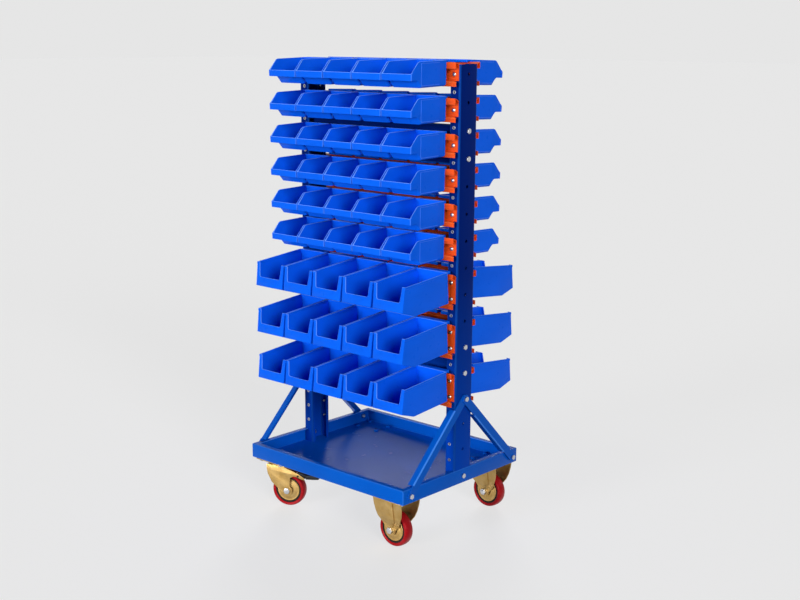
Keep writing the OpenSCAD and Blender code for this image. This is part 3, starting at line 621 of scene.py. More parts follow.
class NodeBook:
    """Adds and links the nodes of one material."""

    def __init__(self, name: str) -> None:
        """Starts a material with its shader and its Object coordinates.

        Args:
            name: The material's name.
        """
        self.material = bpy.data.materials.new(name)
        self.material.use_nodes = True
        self.nodes = self.material.node_tree.nodes
        self.links = self.material.node_tree.links
        self.shader = self.nodes["Principled BSDF"]
        self.coords = self.nodes.new("ShaderNodeTexCoord").outputs["Object"]

    def set(self, **values: float | Colour) -> None:
        """Sets plain values on the shader's own sockets.

        Args:
            values: The values, each under its socket's name with _ for spaces.
        """
        for name, value in values.items():
            socket = self.shader.inputs[name.replace("_", " ")]
            socket.default_value = (*value, 1.0) if isinstance(value, tuple) else value

    def feed(self, socket: str, value: Socket) -> None:
        """Links a value to one of the shader's sockets."""
        self.links.new(value, self.shader.inputs[socket])

    def noise(self, pattern: Noise) -> Socket:
        """Adds a noise texture.

        Args:
            pattern: The noise pattern.

        Returns:
            The noise value's socket.
        """
        place = self.nodes.new("ShaderNodeMapping")
        place.inputs["Scale"].default_value = pattern.stretch
        self.links.new(self.coords, place.inputs["Vector"])
        node = self.nodes.new("ShaderNodeTexNoise")
        node.inputs["Scale"].default_value = pattern.scale
        node.inputs["Detail"].default_value = pattern.detail
        self.links.new(place.outputs["Vector"], node.inputs["Vector"])
        return node.outputs["Fac"]

    def height(self) -> Socket:
        """Reads the height above the floor.

        Returns:
            The socket of the height in metres.
        """
        node = self.nodes.new("ShaderNodeSeparateXYZ")
        self.links.new(self.coords, node.inputs["Vector"])
        return node.outputs["Z"]

    def island(self) -> Socket:
        """Returns a value that differs from one loose part to the next."""
        return self.nodes.new("ShaderNodeNewGeometry").outputs["Random Per Island"]

    def span(self, value: Socket, target: Point2, source: Point2 = NOISE_RANGE) -> Socket:
        """Maps a value to a new range.

        Args:
            value: The value's socket.
            target: What the ends of the range become.
            source: The range that is mapped.

        Returns:
            The mapped value's socket.
        """
        node = self.nodes.new("ShaderNodeMapRange")
        ends = ("From Min", "From Max", "To Min", "To Max")
        for name, end in zip(ends, (*source, *target)):
            node.inputs[name].default_value = end
        self.links.new(value, node.inputs["Value"])
        return node.outputs["Result"]

    def blend(self, value: Socket, low: Colour, high: Colour) -> Socket:
        """Blends two colours by a value.

        Args:
            value: The value's socket.
            low: The colour at 0.
            high: The colour at 1.

        Returns:
            The blended colour's socket.
        """
        node = self.nodes.new("ShaderNodeMix")
        node.data_type = "RGBA"
        colours = [s for s in node.inputs if s.type == "RGBA"]
        for socket, colour in zip(colours, (low, high)):
            socket.default_value = (*colour, 1.0)
        self.links.new(value, node.inputs[0])
        return next(s for s in node.outputs if s.type == "RGBA")

    def edge_highlight(self, colour: Socket, highlight_colour: Colour) -> Socket:
        """Paints highlights: lightens a colour on the edges marked for them.

        Args:
            colour: The colour's socket.
            highlight_colour: The painted highlight's colour on a fully marked edge.

        Returns:
            The new colour's socket.
        """
        mark = self.nodes.new("ShaderNodeAttribute")
        mark.attribute_name = EDGE
        blended = self.blend(mark.outputs["Fac"], highlight_colour, highlight_colour)
        plain = next(s for s in blended.node.inputs if s.type == "RGBA")
        self.links.new(colour, plain)
        return blended

    def dim(self, colour: Socket, value: Socket) -> Socket:
        """Multiplies a colour's brightness by a value.

        Args:
            colour: The colour's socket.
            value: The value's socket.

        Returns:
            The new colour's socket.
        """
        node = self.nodes.new("ShaderNodeHueSaturation")
        self.links.new(colour, node.inputs["Color"])
        self.links.new(value, node.inputs["Value"])
        return node.outputs["Color"]

    def bump(self, relief: Relief) -> None:
        """Adds a relief to the shader's normal, over any relief it has.

        Args:
            relief: The relief.
        """
        node = self.nodes.new("ShaderNodeBump")
        node.inputs["Strength"].default_value = relief.strength
        node.inputs["Distance"].default_value = relief.height
        self.links.new(self.noise(relief.pattern), node.inputs["Height"])
        normal = self.shader.inputs["Normal"]
        if normal.is_linked:
            self.links.new(normal.links[0].from_socket, node.inputs["Normal"])
        self.links.new(node.outputs["Normal"], normal)


@dataclass(frozen=True, kw_only=True)
class Coating:
    """A finish of two mottled colours; each kind has its own patterns and reliefs."""

    colour: Colour
    mottle_colour: Colour
    # Colour of the painted highlight on marked rims, bends and borders.
    highlight_colour: Colour | None = None
    gloss_tint: Colour = (1.0, 1.0, 1.0)
    gloss: float = 0.5
    metal: float = 0.0
    roughness: Point2
    mottle: Noise
    mottle_range: Point2 = NOISE_RANGE
    gloss_marks: Noise

    def material(self, name: str) -> bpy.types.Material:
        """Makes the material.

        Args:
            name: Its name.

        Returns:
            The material.
        """
        book = NodeBook(name)
        book.feed("Base Color", self.tint(book))
        book.feed("Roughness", book.span(book.noise(self.gloss_marks), self.roughness))
        book.set(Metallic=self.metal, Specular_Tint=self.gloss_tint, Specular_IOR_Level=self.gloss)
        for relief in self.reliefs():
            book.bump(relief)
        return book.material

    def share(self, book: NodeBook) -> Socket:
        """Returns the share of the mottling colour."""
        return book.span(book.noise(self.mottle), FULL_RANGE, self.mottle_range)

    def tint(self, book: NodeBook) -> Socket:
        """Returns the mottled colour, with painted highlights on its marked edges."""
        tint = book.blend(self.share(book), self.colour, self.mottle_colour)
        return book.edge_highlight(tint, self.highlight_colour) if self.highlight_colour else tint

    def reliefs(self) -> tuple[Relief, ...]:
        """Returns the finish's reliefs, of which a plain finish has none."""
        return ()


@dataclass(frozen=True, kw_only=True)
class MouldedPlastic(Coating):
    """Injection-moulded plastic: faint flow marks, a fine grain and a soft gloss."""

    shade: Point2 = (0.95, 1.04)
    mottle: Noise = Noise(9.0, 4.0, (1.0, 1.0, 2.2))
    gloss_marks: Noise = Noise(60.0, 5.0)
    grain: Noise = Noise(2600.0, 2.0)
    grain_strength: float
    grain_height: float = 0.0002
    ripple: Relief = Relief(Noise(35.0, 2.0), 0.05, 0.0008)

    def tint(self, book: NodeBook) -> Socket:
        """Returns the colour, a little lighter or darker on each loose part."""
        return book.dim(super().tint(book), book.span(book.island(), self.shade, FULL_RANGE))

    def reliefs(self) -> tuple[Relief, ...]:
        """Returns the grain and the ripple of the mould."""
        return Relief(self.grain, self.grain_strength, self.grain_height), self.ripple


@dataclass(frozen=True, kw_only=True)
class PowderCoat(Coating):
    """Baked paint on sheet steel: orange peel, slight mottling and a soft gloss."""

    # Heights in metres over which painted bounce light fades out, from the lighter colour at the
    # foot to the plain colour above.
    bounce_light_heights: Point2 | None = None
    mottle: Noise = Noise(5.0, 5.0)
    gloss_marks: Noise = Noise(24.0, 4.0)
    peel: Relief = Relief(Noise(520.0, 2.0), 0.1, 0.0003)
    wave: Relief = Relief(Noise(12.0, 1.0), 0.04, 0.002)

    def share(self, book: NodeBook) -> Socket:
        """Sets the share of the mottling colour, or paints bounce light by height instead.

        Args:
            book: The material's nodes.

        Returns:
            The share: 1 at the foot of the painted bounce light's range and 0 at its top, where
                there is one.
        """
        if self.bounce_light_heights is None:
            return super().share(book)
        return book.span(book.height(), FULL_RANGE[::-1], self.bounce_light_heights)

    def reliefs(self) -> tuple[Relief, ...]:
        """Returns the orange peel and the slow wave of the sheet."""
        return self.peel, self.wave


@dataclass(frozen=True, kw_only=True)
class PlatedSteel(Coating):
    """Plated steel: cloudy tint, fine scratches and a soft metal gloss."""

    metal: float = 1.0
    mottle: Noise = Noise(45.0, 5.0)
    gloss_marks: Noise = Noise(130.0, 4.0)
    scratches: Relief = Relief(Noise(420.0, 3.0, (1.0, 1.0, 6.0)), 0.08, 0.0002)

    def reliefs(self) -> tuple[Relief, ...]:
        """Returns the scratches."""
        return (self.scratches,)


@dataclass(frozen=True, kw_only=True)
class Polyurethane(Coating):
    """Cast tyre: a deep even colour with faint dust and a waxy gloss."""

    mottle: Noise = Noise(70.0, 6.0)
    mottle_range: Point2 = (0.45, 0.85)
    gloss_marks: Noise = Noise(40.0, 3.0)
    skin: Relief = Relief(Noise(700.0, 3.0), 0.08, 0.0003)

    def reliefs(self) -> tuple[Relief, ...]:
        """Returns the cast skin."""
        return (self.skin,)


class Palette:
    """All the finishes of the trolley, made once."""

    def __init__(self) -> None:
        """Mixes each finish and makes its material."""
        blue_gloss, warm_gloss, red_gloss = (0.12, 0.5, 1.0), (1.0, 0.7, 0.5), (1.0, 0.35, 0.35)
        # Each highlight_colour is a lighter painted highlight for the marked rims, bends and relief
        # borders.
        recipes: dict[Finish, Coating] = {
            Finish.BIN_PLASTIC: MouldedPlastic(
                colour=(0.002, 0.112, 0.82), mottle_colour=(0.003, 0.127, 0.9),
                highlight_colour=(0.13, 0.32, 1.0), gloss_tint=blue_gloss, gloss=0.1,
                roughness=(0.26, 0.39), grain_strength=0.05,
            ),
            Finish.FRAME_PAINT: PowderCoat(
                colour=(0.001, 0.085, 0.48), mottle_colour=(0.001, 0.1, 0.55),
                highlight_colour=(0.05, 0.22, 0.75), gloss_tint=blue_gloss, gloss=0.1,
                roughness=(0.17, 0.28),
            ),
            # The post paint's second colour is painted bounce light: the channels grow lighter
            # towards their feet, where the floor and tray would light them.
            Finish.POST_PAINT: PowderCoat(
                colour=(0.0005, 0.014, 0.16), mottle_colour=(0.001, 0.05, 0.4),
                highlight_colour=(0.004, 0.05, 0.3), gloss_tint=blue_gloss, gloss=0.03,
                roughness=(0.29, 0.4), bounce_light_heights=(0.2, 0.75),
            ),
            Finish.RAIL_PAINT: PowderCoat(
                colour=(0.88, 0.09, 0.01), mottle_colour=(0.95, 0.1, 0.012),
                highlight_colour=(1.0, 0.16, 0.03), gloss_tint=warm_gloss, gloss=0.2,
                roughness=(0.31, 0.42),
            ),
            Finish.GOLD_ZINC: PlatedSteel(
                colour=(0.42, 0.26, 0.08), mottle_colour=(0.53, 0.36, 0.14),
                roughness=(0.38, 0.56),
            ),
            Finish.BRIGHT_STEEL: PlatedSteel(
                colour=(0.5, 0.5, 0.52), mottle_colour=(0.62, 0.62, 0.63), roughness=(0.22, 0.4)
            ),
            Finish.BLACK_PLASTIC: MouldedPlastic(
                colour=(0.005, 0.005, 0.006), mottle_colour=(0.01, 0.01, 0.01),
                highlight_colour=(0.025, 0.025, 0.025), gloss=0.2,
                roughness=(0.39, 0.52), grain_strength=0.12,
            ),
            Finish.RED_TYRE: Polyurethane(
                colour=(0.33, 0.004, 0.008), mottle_colour=(0.38, 0.015, 0.02),
                gloss_tint=red_gloss, gloss=0.25, roughness=(0.3, 0.46),
            ),
        }
        self.materials: dict[Finish, bpy.types.Material] = {
            finish: recipe.material(finish.value) for finish, recipe in recipes.items()
        }


@dataclass
class Workshop:
    """Turns shapes into pieces that ride on the frame's bodies."""

    palette: Palette

    def piece(
        self, shape: Shape, name: str, finish: Finish, body: str, *nodes: str
    ) -> bpy.types.Object:
        """Makes one finished piece.

        Args:
            shape: Its mesh, in place.
            name: Its name.
            finish: Its finish, which is also its material slot.
            body: The body it rides on.
            nodes: The frame's nodes that it stands for.

        Returns:
            The finished object.
        """
        thing = shape.to_object(name, self.palette.materials[finish])
        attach(thing, body)
        if nodes:
            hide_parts(*nodes)
        LOG.info("%s: %d faces on %s", name, len(thing.data.polygons), body)
        return thing


@dataclass
class Tray:
    """The folded tray with its turned-in top edge."""

    length: float = 600.0
    width: float = 500.0
    low: float = 141.0
    height: float = 42.0
    sheet: float = 2.0
    lip: float = 16.0
    fold: float = 2.6
    # Share of painted highlight on the rounded folds.
    fold_highlight: float = 0.25
    notch_deep: float = 37.0
    notch_width: float = 75.0
    notch_low: float = 10.0
    notch_high: float = 60.0

    @property
    def wall(self) -> float:
        """The distance of the end walls from the middle."""
        return self.length / 2

    @property
    def bolt_line(self) -> float:
        """The height of the bolts, half-way up the walls."""
        return self.low + self.height / 2

    def build(self, shop: Workshop) -> None:
        """Folds the tray and notches its edge round the posts.

        Args:
            shop: Makes the piece.
        """
        side, top = self.width / 2, self.low + self.height
        shape = Shape().box((-self.wall, -side, self.low), (self.wall, side, top))
        bm = shape.bm
        bm.normal_update()
        lid = [f for f in bm.faces if f.normal.z > FACING]
        bmesh.ops.delete(bm, geom=lid, context="FACES_ONLY")
        rim = [e for e in bm.edges if len(e.link_faces) == 1]
        grown = bmesh.ops.extrude_edge_only(bm, edges=rim)["geom"]
        edge = [g for g in grown if isinstance(g, Vert)]
        shrink = (1.0 - self.lip / self.wall, 1.0 - self.lip / side, 1.0)
        bmesh.ops.scale(bm, vec=shrink, verts=edge)
        shape.recalc()
        shape.bevel(shape.folds(SHARP_DEGREES), self.fold, segments=3, edge_highlight=self.fold_highlight)
        shape.thicken(self.sheet, 0.0)
        low, high = self.low + self.notch_low, self.low + self.notch_high
        inside, half = self.wall - self.sheet, self.notch_width / 2
        notches = Shape()
        for end in End:
            near, far = sorted((end.sign * inside, end.sign * (inside - self.notch_deep)))
            notches.box((near, -half, low), (far, half, high))
        shop.piece(shape.cut(notches), "folded_tray", Finish.FRAME_PAINT, FRAME, "tray")


@dataclass
class Posts:
    """The two lipped channels with their rows of holes."""

    face: float = 298.0
    depth: float = 34.0
    width: float = 72.0
    sheet: float = 2.0
    bend: float = 3.0
    lip: float = 12.0
    foot: float = 143.0
    top: float = 1285.0
    inset: float = 25.5
    flange_pitch: float = 45.5
    flange_holes: int = 24
    flange_hole_d: float = 7.0
    hole_in: float = 18.5
    web_pitch: float = 72.8
    web_holes: int = 15
    web_hole_d: float = 9.0

    @property
    def flange_y(self) -> float:
        """The distance of the flanges' faces from the middle."""
        return self.width / 2

    @property
    def flange_x(self) -> float:
        """The distance of the flange holes from the middle."""
        return self.face - self.hole_in

    def flange_hole(self, k: int) -> float:
        """Returns the height of flange hole k, counted from the top."""
        return self.top - self.inset - k * self.flange_pitch

    def web_hole(self, k: int) -> float:
        """Returns the height of web hole k, counted from the top."""
        return self.top - self.inset - k * self.web_pitch

    def build(self, shop: Workshop) -> None:
        """Bends one post, pierces it and mirrors it for the other end.

        Args:
            shop: Makes the pieces.
        """
        half = self.sheet / 2
        inner, web = self.face - self.depth + half, self.face - half
        side, edge = self.flange_y - half, self.flange_y - self.lip
        path = [
            (inner, -edge), (inner, -side), (web, -side),
            (web, side), (inner, side), (inner, edge),
        ]
        post = Shape().sheet(path, Plane.XY, (self.foot, self.top), self.sheet, self.bend)
        holes = Shape()
        for k in range(self.flange_holes):
            place = Matrix.Translation((self.flange_x, 0.0, self.flange_hole(k)))
            holes.rod(self.flange_hole_d / 2, -self.width, self.width, place @ quarter("X"))
        deep = 3.0 * self.sheet
        for k in range(self.web_holes):
            place = Matrix.Translation((self.face, 0.0, self.web_hole(k)))
            holes.rod(self.web_hole_d / 2, -deep, deep, place @ quarter("Y"))
        post.cut(holes)
        for end in End:
            name = end.value
            channel = post.placed(end.mirror)
            shop.piece(channel, f"{name}_channel", Finish.POST_PAINT, FRAME, f"{name}_post")


@dataclass
class Braces:
    """The four angles between the tray and the posts."""

    tray: Tray
    posts: Posts
    reach: float = 222.0
    web_hole: int = 12
    width: float = 24.0
    leg: float = 20.0
    thick: float = 3.0
    gap: float = 4.0
    bend: float = 0.5

    @property
    def top(self) -> float:
        """The height of the bolts through both braces and the post."""
        return self.posts.web_hole(self.web_hole)

    def build(self, shop: Workshop) -> None:
        """Sets the angles at both ends.

        Args:
            shop: Makes the pieces.
        """
        turn = Matrix.Rotation(self._run()[1], 4, "X")
        for end in End:
            for side in Side:
                rear = side is Side.REAR
                mirror = Matrix.Diagonal((end.sign, -side.sign, 1.0, 1.0))
                out = self.tray.wall + (self.thick if rear else 0.0)
                place = Matrix.Translation((out, -self.reach, self.tray.bolt_line))
                angle = self._angle(-1.0 if rear else 1.0).transform(mirror @ place @ turn)
                name = f"{end.value}_{side.value}_brace"
                shop.piece(angle, f"{name}_angle", Finish.FRAME_PAINT, FRAME, name)

    def _run(self) -> Point2:
        """Returns the distance between a brace's bolts and the slope of the line through them."""
        up = self.top - self.tray.bolt_line
        return math.hypot(self.reach, up), math.atan2(up, self.reach)

    def _angle(self, edge: float) -> Shape:
        """Bends one angle along its own Y axis, with its lower bolt at the origin.

        Args:
            edge: 1 for a turned-in leg on the upper edge, -1 for the lower edge.

        Returns:
            The angle, its flat leg between x = 0 and its thickness.
        """
        half, t = self.width / 2, self.thick
        run, slope = self._run()
        leg_low = half - t if edge > 0 else -half
        over_rim = self.tray.height / 2 + self.gap
        off_post = self.posts.flange_y + self.gap
        start = (over_rim - leg_low * math.cos(slope)) / math.sin(slope)
        stop = (self.reach - off_post) / math.cos(slope) + leg_low * math.tan(slope)
        path = [(t / 2, -half), (t / 2, half - t / 2), (t - self.leg, half - t / 2)]
        shape = Shape().sheet(path, Plane.XZ, (start, stop), t, self.bend)
        foot = [(start, -half), (start, half)]
        foot += arc((0.0, 0.0), half, 90.0, 270.0, steps=12)
        head = [(stop, half), (stop, -half)]
        head += arc((run, 0.0), half, -90.0, 90.0, steps=12)
        for outline in (foot, head):
            shape.prism(outline, Plane.YZ, 0.0, t)
        return shape.transform(flip(Z_AXIS, edge))


@dataclass
class Ties:
    """The two channels bolted between the posts."""

    posts: Posts
    upper_hole: int = 2
    lower_hole: int = 10
    width: float = 30.0
    sheet: float = 2.0
    bend: float = 2.0
    edge: float = 14.0
    plate_width: float = 44.0
    plate_thick: float = 3.0
    plate_round: float = 0.6

    @property
    def bolt_holes(self) -> list[int]:
        """The web holes that the ties are bolted to."""
        return [k + i for k in (self.upper_hole, self.lower_hole) for i in (0, 1)]

    def build(self, shop: Workshop) -> None:
        """Bends both channels and adds the plates at their ends.

        Args:
            shop: Makes the pieces.
        """
        posts, line = self.posts, self.sheet / 2
        outer = posts.face - posts.sheet
        inner = outer - self.plate_thick
        rim, half = self.width / 2, self.plate_width / 2
        for name, k in (("upper_tie", self.upper_hole), ("lower_tie", self.lower_hole)):
            low, high = posts.web_hole(k + 1) - self.edge, posts.web_hole(k) + self.edge
            foot, head, web = low + line, high - line, line - rim
            path = [(rim, foot), (web, foot), (web, head), (rim, head)]
            shape = Shape().sheet(path, Plane.YZ, (-inner, inner), self.sheet, self.bend)
            for near, far in ((inner, outer), (-outer, -inner)):
                plate = Shape().box((near, -half, low), (far, half, high))
                shape.add(plate.soften(self.plate_round))
            shop.piece(shape, f"{name}_channel", Finish.POST_PAINT, FRAME, name)


@dataclass
class Rows:
    """Where the rows of bins hang: the flange holes of their rails."""

    posts: Posts
    small_holes: tuple[int, ...] = (0, 2, 4, 6, 8, 10)
    large_holes: tuple[int, ...] = (12, 15, 18)
    small_rise: float = 31.0
    large_rise: float = 24.5

    @property
    def rail_holes(self) -> list[int]:
        """The flange holes that the rails cover and are screwed to."""
        return [*self.small_holes, *self.large_holes, *(k + 1 for k in self.large_holes)]

    @property
    def small_tops(self) -> list[float]:
        """The heights of the small rails' tops."""
        return [self.posts.flange_hole(k) + self.small_rise for k in self.small_holes]

    @property
    def large_tops(self) -> list[float]:
        """The heights of the large rails' tops."""
        return [self.posts.flange_hole(k) + self.large_rise for k in self.large_holes]


@dataclass
class Rails:
    """The bent rails that the bins hang on."""

    rows: Rows
    end: float = 294.0
    sheet: float = 1.6
    bend: float = 1.0
    small_height: float = 62.0
    large_height: float = 96.0
    nose_out: float = 14.0
    nose_h: float = 17.0
    nose_gap: float = 0.3
    slope: float = 7.0
    foot_out: float = 12.6
    foot_h: float = 15.0
    foot_drop: float = 3.0
    slit_length: float = 7.0
    slit_height: float = 2.6

    @property
    def seat(self) -> float:
        """The distance of the noses' faces from the middle."""
        return self.rows.posts.flange_y + self.nose_out

    def build(self, shop: Workshop) -> None:
        """Bends all the rails of both sides.

        Args:
            shop: Makes the pieces.
        """
        sizes = [
            ("small", self.small_height, self.rows.small_tops),
            ("large", self.large_height, self.rows.large_tops),
        ]
        for side in Side:
            for size, height, tops in sizes:
                rails = Shape()
                for top in tops:
                    rails.add(self._rail(height, top).transform(side.turn))
                name = f"{side.value}_{size}_rail"
                shop.piece(rails, f"{name}_set", Finish.RAIL_PAINT, FRAME, f"{name}s")

    def _rail(self, height: float, top: float) -> Shape:
        """Bends one rail of the front and slits the ends of its foot's bend.

        Args:
            height: The rail's height.
            top: The height of its top edge above the floor.

        Returns:
            The rail's shape.
        """
        t, back = self.sheet, -self.rows.posts.flange_y
        nose, foot = self.nose_out - t / 2, self.foot_out - t / 2
        knee = self.foot_h - height
        path = [
            (2.0 * t + self.nose_gap, t / 2 - self.nose_h), (nose, t / 2 - self.nose_h),
            (nose, -t), (t / 2, -self.slope), (t / 2, knee),
            (foot, knee - self.foot_drop), (foot, -height),
        ]
        placed = [(back - out, top + up) for out, up in path]
        shape = Shape().sheet(placed, Plane.YZ, (-self.end, self.end), t, self.bend)
        length, tall = self.slit_length, self.slit_height
        low = top + knee - self.foot_drop / 2 - tall / 2
        slits = Shape()
        for end in End:
            x = end.sign * self.end
            near, far = back - 2.0 * self.nose_out, back - t
            slits.box((x - length, near, low), (x + length, far, low + tall))
        return shape.cut(slits)


@dataclass(frozen=True)
class BinHook:
    """The ledge behind a bin that goes over a rail's nose, with its turned-down edge."""

    inner: float = 7.5
    outer: float = 9.5
    drop: float = 2.5
    overlap: float = 0.2
    margin: float = 5.0
    edge: float = 0.5

    def shape(self, width: float, back: float, rise: float) -> Shape:
        """Moulds the ledge of one bin.

        Args:
            width: The bin's width.
            back: The distance of its back from the hook's seat.
            rise: The height of its rim above the seat.

        Returns:
            The ledge, over the bin's width less a margin at each side.
        """
        start, half = -back - self.overlap, width / 2 - self.margin
        outline = [
            (start, 0.0), (self.inner, 0.0), (self.inner, -self.drop),
            (self.outer, -self.drop), (self.outer, rise), (start, rise),
        ]
        return Shape().prism(outline, Plane.YZ, -half, half).soften(self.edge)


@dataclass
class SmallBin:
    """A small bin with a sloping open front and a lip. Its own y axis points to the rear."""

    back: float = 0.83
    width: float = 104.8
    draft: float = 2.6
    length: float = 137.0
    top_length: float = 108.0
    bottom_length: float = 98.0
    step: float = 25.0
    drop: float = 61.0
    rise: float = 5.0
    lip_low: float = 41.0
    lip_height: float = 17.0
    lip_deep: float = 5.0
    lip_edge: float = 0.5
    wall: float = 2.2
    rim: float = 0.75
    corner: float = 6.0
    corner_degrees: float = 57.0
    top_corner: float = 5.0
    panel_from: float = 26.8
    panel_band: float = 4.4
    panel_depth: float = 0.9
    panel_edge: float = 0.9
    slack: float = 1.0
    hook: BinHook = BinHook()

    @property
    def front(self) -> float:
        """The distance of the floor's front edge."""
        return self.back + self.bottom_length

    @property
    def far(self) -> float:
        """The distance of the lip's face."""
        return self.back + self.length

    def half(self, z: float) -> float:
        """Returns half the width of the drafted sides at a height."""
        share = (self.rise - z) / (self.drop + self.rise)
        return self.width / 2 - self.panel_depth - self.draft * share

    def shape(self) -> Shape:
        """Moulds one bin.

        Returns:
            The bin, with its hook's seat at the origin.
        """
        step = self.far - self.step
        profile = [
            (self.back, self.rise), (self.back, -self.drop), (self.front, -self.drop),
            (step, -self.lip_low), (self.far, -self.lip_low),
            (self.far, self.lip_height - self.lip_low), (self.back + self.top_length, self.rise),
        ]
        shape = Shape()
        left, right = shape.trough(profile, self.half)
        shape.face_down().fillet((left[-1], right[-1]), self.top_corner, segments=5)
        low = [
            e for e in shape.folds(self.corner_degrees)
            if max(v.co.z for v in e.verts) < self.slack - self.lip_low
            and max(-v.co.y for v in e.verts) < self.slack + step
        ]
        shape.bevel(low, self.corner, segments=4).thicken(self.wall, self.rim)
        self._raise_sides(shape)
        return shape.add(self.hook.shape(self.width, self.back, self.rise))

    def _raise_sides(self, shape: Shape) -> None:
        """Raises an upright panel on each side and the ends of the lip.

        Args:
            shape: The bin.
        """
        lip, top = self.far - self.lip_deep, self.rise - self.panel_band
        for a in (self.panel_from, self.front, lip):
            shape.score(shape.flanks(), Y_AXIS * -a, Y_AXIS)
        panels = self._flanks_between(shape, self.panel_from, self.front)
        shape.score(panels, Z_AXIS * top, Z_AXIS)
        panels = self._flanks_between(shape, self.panel_from, self.front)
        raised = [f for f in panels if f.calc_center_median().z < top]
        tips = self._flanks_between(shape, lip, math.inf)
        ends = [f for f in tips if f.calc_area() > self.lip_deep]
        shape.relief(raised, self.panel_edge, self.panel_depth)
        shape.relief(ends, self.lip_edge, 2.0 * self.panel_depth)

    @staticmethod
    def _flanks_between(shape: Shape, near: float, far: float) -> list[Face]:
        """Returns the side faces between two distances from the hook's seat."""
        return [f for f in shape.flanks() if near < -f.calc_center_median().y < far]


@dataclass
class LargeBin:
    """A large bin with a window in its front and a rim. Its own y axis points to the rear."""

    back: float = 6.58
    width: float = 111.0
    rim: float = 1.3
    rim_height: float = 6.0
    rim_ramp: float = 1.2
    rim_round: float = 0.8
    draft: float = 1.2
    length: float = 186.0
    top_length: float = 171.0
    bottom_length: float = 138.0
    drop: float = 80.0
    rise: float = 6.5
    front_low: float = 60.0
    sill_low: float = 34.5
    sill_width: float = 80.0
    window_width: float = 89.0
    wall: float = 2.2
    corner: float = 4.0
    corner_degrees: float = 17.0
    mark_half: float = 0.6
    mark_proud: float = 0.5
    mark_x: float = 24.0
    mark_gap: float = 2.0
    mark_height: float = 12.0
    slack: float = 0.1
    hook: BinHook = BinHook()

    def half(self, z: float) -> float:
        """Returns half the width of the drafted sides at a height."""
        share = (self.rise - z) / (self.drop + self.rise)
        return self.width / 2 - self.rim - self.draft * share

    def front(self, z: float) -> float:
        """Returns the distance of the leaning front at a height."""
        share = (z + self.front_low) / (self.front_low + self.rise)
        return self.back + self.length - share * (self.length - self.top_length)

    def shape(self) -> Shape:
        """Moulds one bin.

        Returns:
            The bin, with its hook's seat at the origin.
        """
        profile = [
            (self.back, self.rise), (self.back, -self.drop),
            (self.back + self.bottom_length, -self.drop),
            (self.front(-self.front_low), -self.front_low), (self.front(self.rise), self.rise),
        ]
        shape = Shape()
        left, right = shape.trough(profile, self.half)
        top, sill = (self.window_width / 2, self.rise), (self.sill_width / 2, -self.sill_low)
        window = [top, sill, (-sill[0], sill[1]), (-top[0], top[1])]
        gap = [shape.bm.verts.new((x, -self.front(z), z)) for x, z in window]
        shape.bm.faces.new((left[3], right[3], right[4], *gap, left[4]))
        shape.face_down().fillet(gap[1:3], self.corner, segments=4)
        self._flare_rim(shape)
        bends = shape.folds(self.corner_degrees)
        low = [e for e in bends if max(v.co.z for v in e.verts) < 0.0]
        shape.bevel(low, self.corner, segments=4).thicken(self.wall, self.rim_round)
        return shape.add(self._marks()).add(self.hook.shape(self.width, self.back, self.rise))

    def _flare_rim(self, shape: Shape) -> None:
        """Steps the top band of the sides outwards.

        Args:
            shape: The bin.
        """
        foot = self.rise - self.rim_height
        for z in (foot - self.rim_ramp, foot):
            shape.score(shape.flanks(), Z_AXIS * z, Z_AXIS)
        for vert in shape.bm.verts:
            x, _, z = vert.co
            if z > foot - self.slack and abs(x) > self.half(z) - 2.0 * self.slack:
                vert.co.x += math.copysign(self.rim, x)

    def _marks(self) -> Shape:
        """Moulds the two fine upright beads below the sill.

        Returns:
            The beads.
        """
        half, proud = self.mark_half, self.mark_proud
        high = -self.sill_low - self.mark_gap
        low = high - self.mark_height
        corners = ((-proud, low), (proud, low), (proud, high), (-proud, high))
        outline = [(out - self.front(z), z) for out, z in corners]
        shape = Shape()
        for x in (-self.mark_x, self.mark_x):
            shape.prism(outline, Plane.YZ, x - half, x + half)
        return shape


@dataclass
class Bins:
    """All the rows of bins on both sides."""

    rails: Rails
    small_pitch: float = 106.0
    large_pitch: float = 114.0
    small_tilt: float = 1.8
    large_tilt: float = 5.5
    per_row: int = 5

    def build(self, shop: Workshop) -> None:
        """Moulds the two bins and hangs them in their rows.

        Args:
            shop: Makes the pieces.
        """
        rows, seat = self.rails.rows, self.rails.seat
        small, large = SmallBin().shape(), LargeBin().shape()
        hung = [(top, small, self.small_pitch, self.small_tilt) for top in rows.small_tops]
        hung += [(top, large, self.large_pitch, self.large_tilt) for top in rows.large_tops]
        for side in Side:
            for number, (top, pattern, pitch, tilt) in enumerate(hung, 1):
                lean = Matrix.Rotation(math.radians(tilt), 4, "X")
                row = Shape()
                for i in range(self.per_row):
                    x = (i - (self.per_row - 1) / 2) * pitch
                    hang = Matrix.Translation((x, -seat, top)) @ lean
                    row.add(pattern.placed(side.turn @ hang))
                name = f"{side.value}_row_{number}"
                shop.piece(row, f"{name}_bins", Finish.BIN_PLASTIC, name, name)


def hexagon(across: float, low: float, high: float, edge: float = 0.7) -> Shape:
    """Makes a hexagon along Z with rounded rims.

    Args:
        across: The width across the flats.
        low: The height of its lower face.
        high: The height of its upper face.
        edge: How far its rims are rounded.

    Returns:
        The hexagon's shape.
    """
    corner = across / 2 / math.cos(math.pi / 6)
    shape = Shape().rod(corner, low, high, quarter("Z", 1.0 / 3.0), sides=6)
    rims = [e for e in shape.bm.edges if abs(e.verts[0].co.z - e.verts[1].co.z) < MERGE]
    return shape.bevel(rims, edge, segments=2)


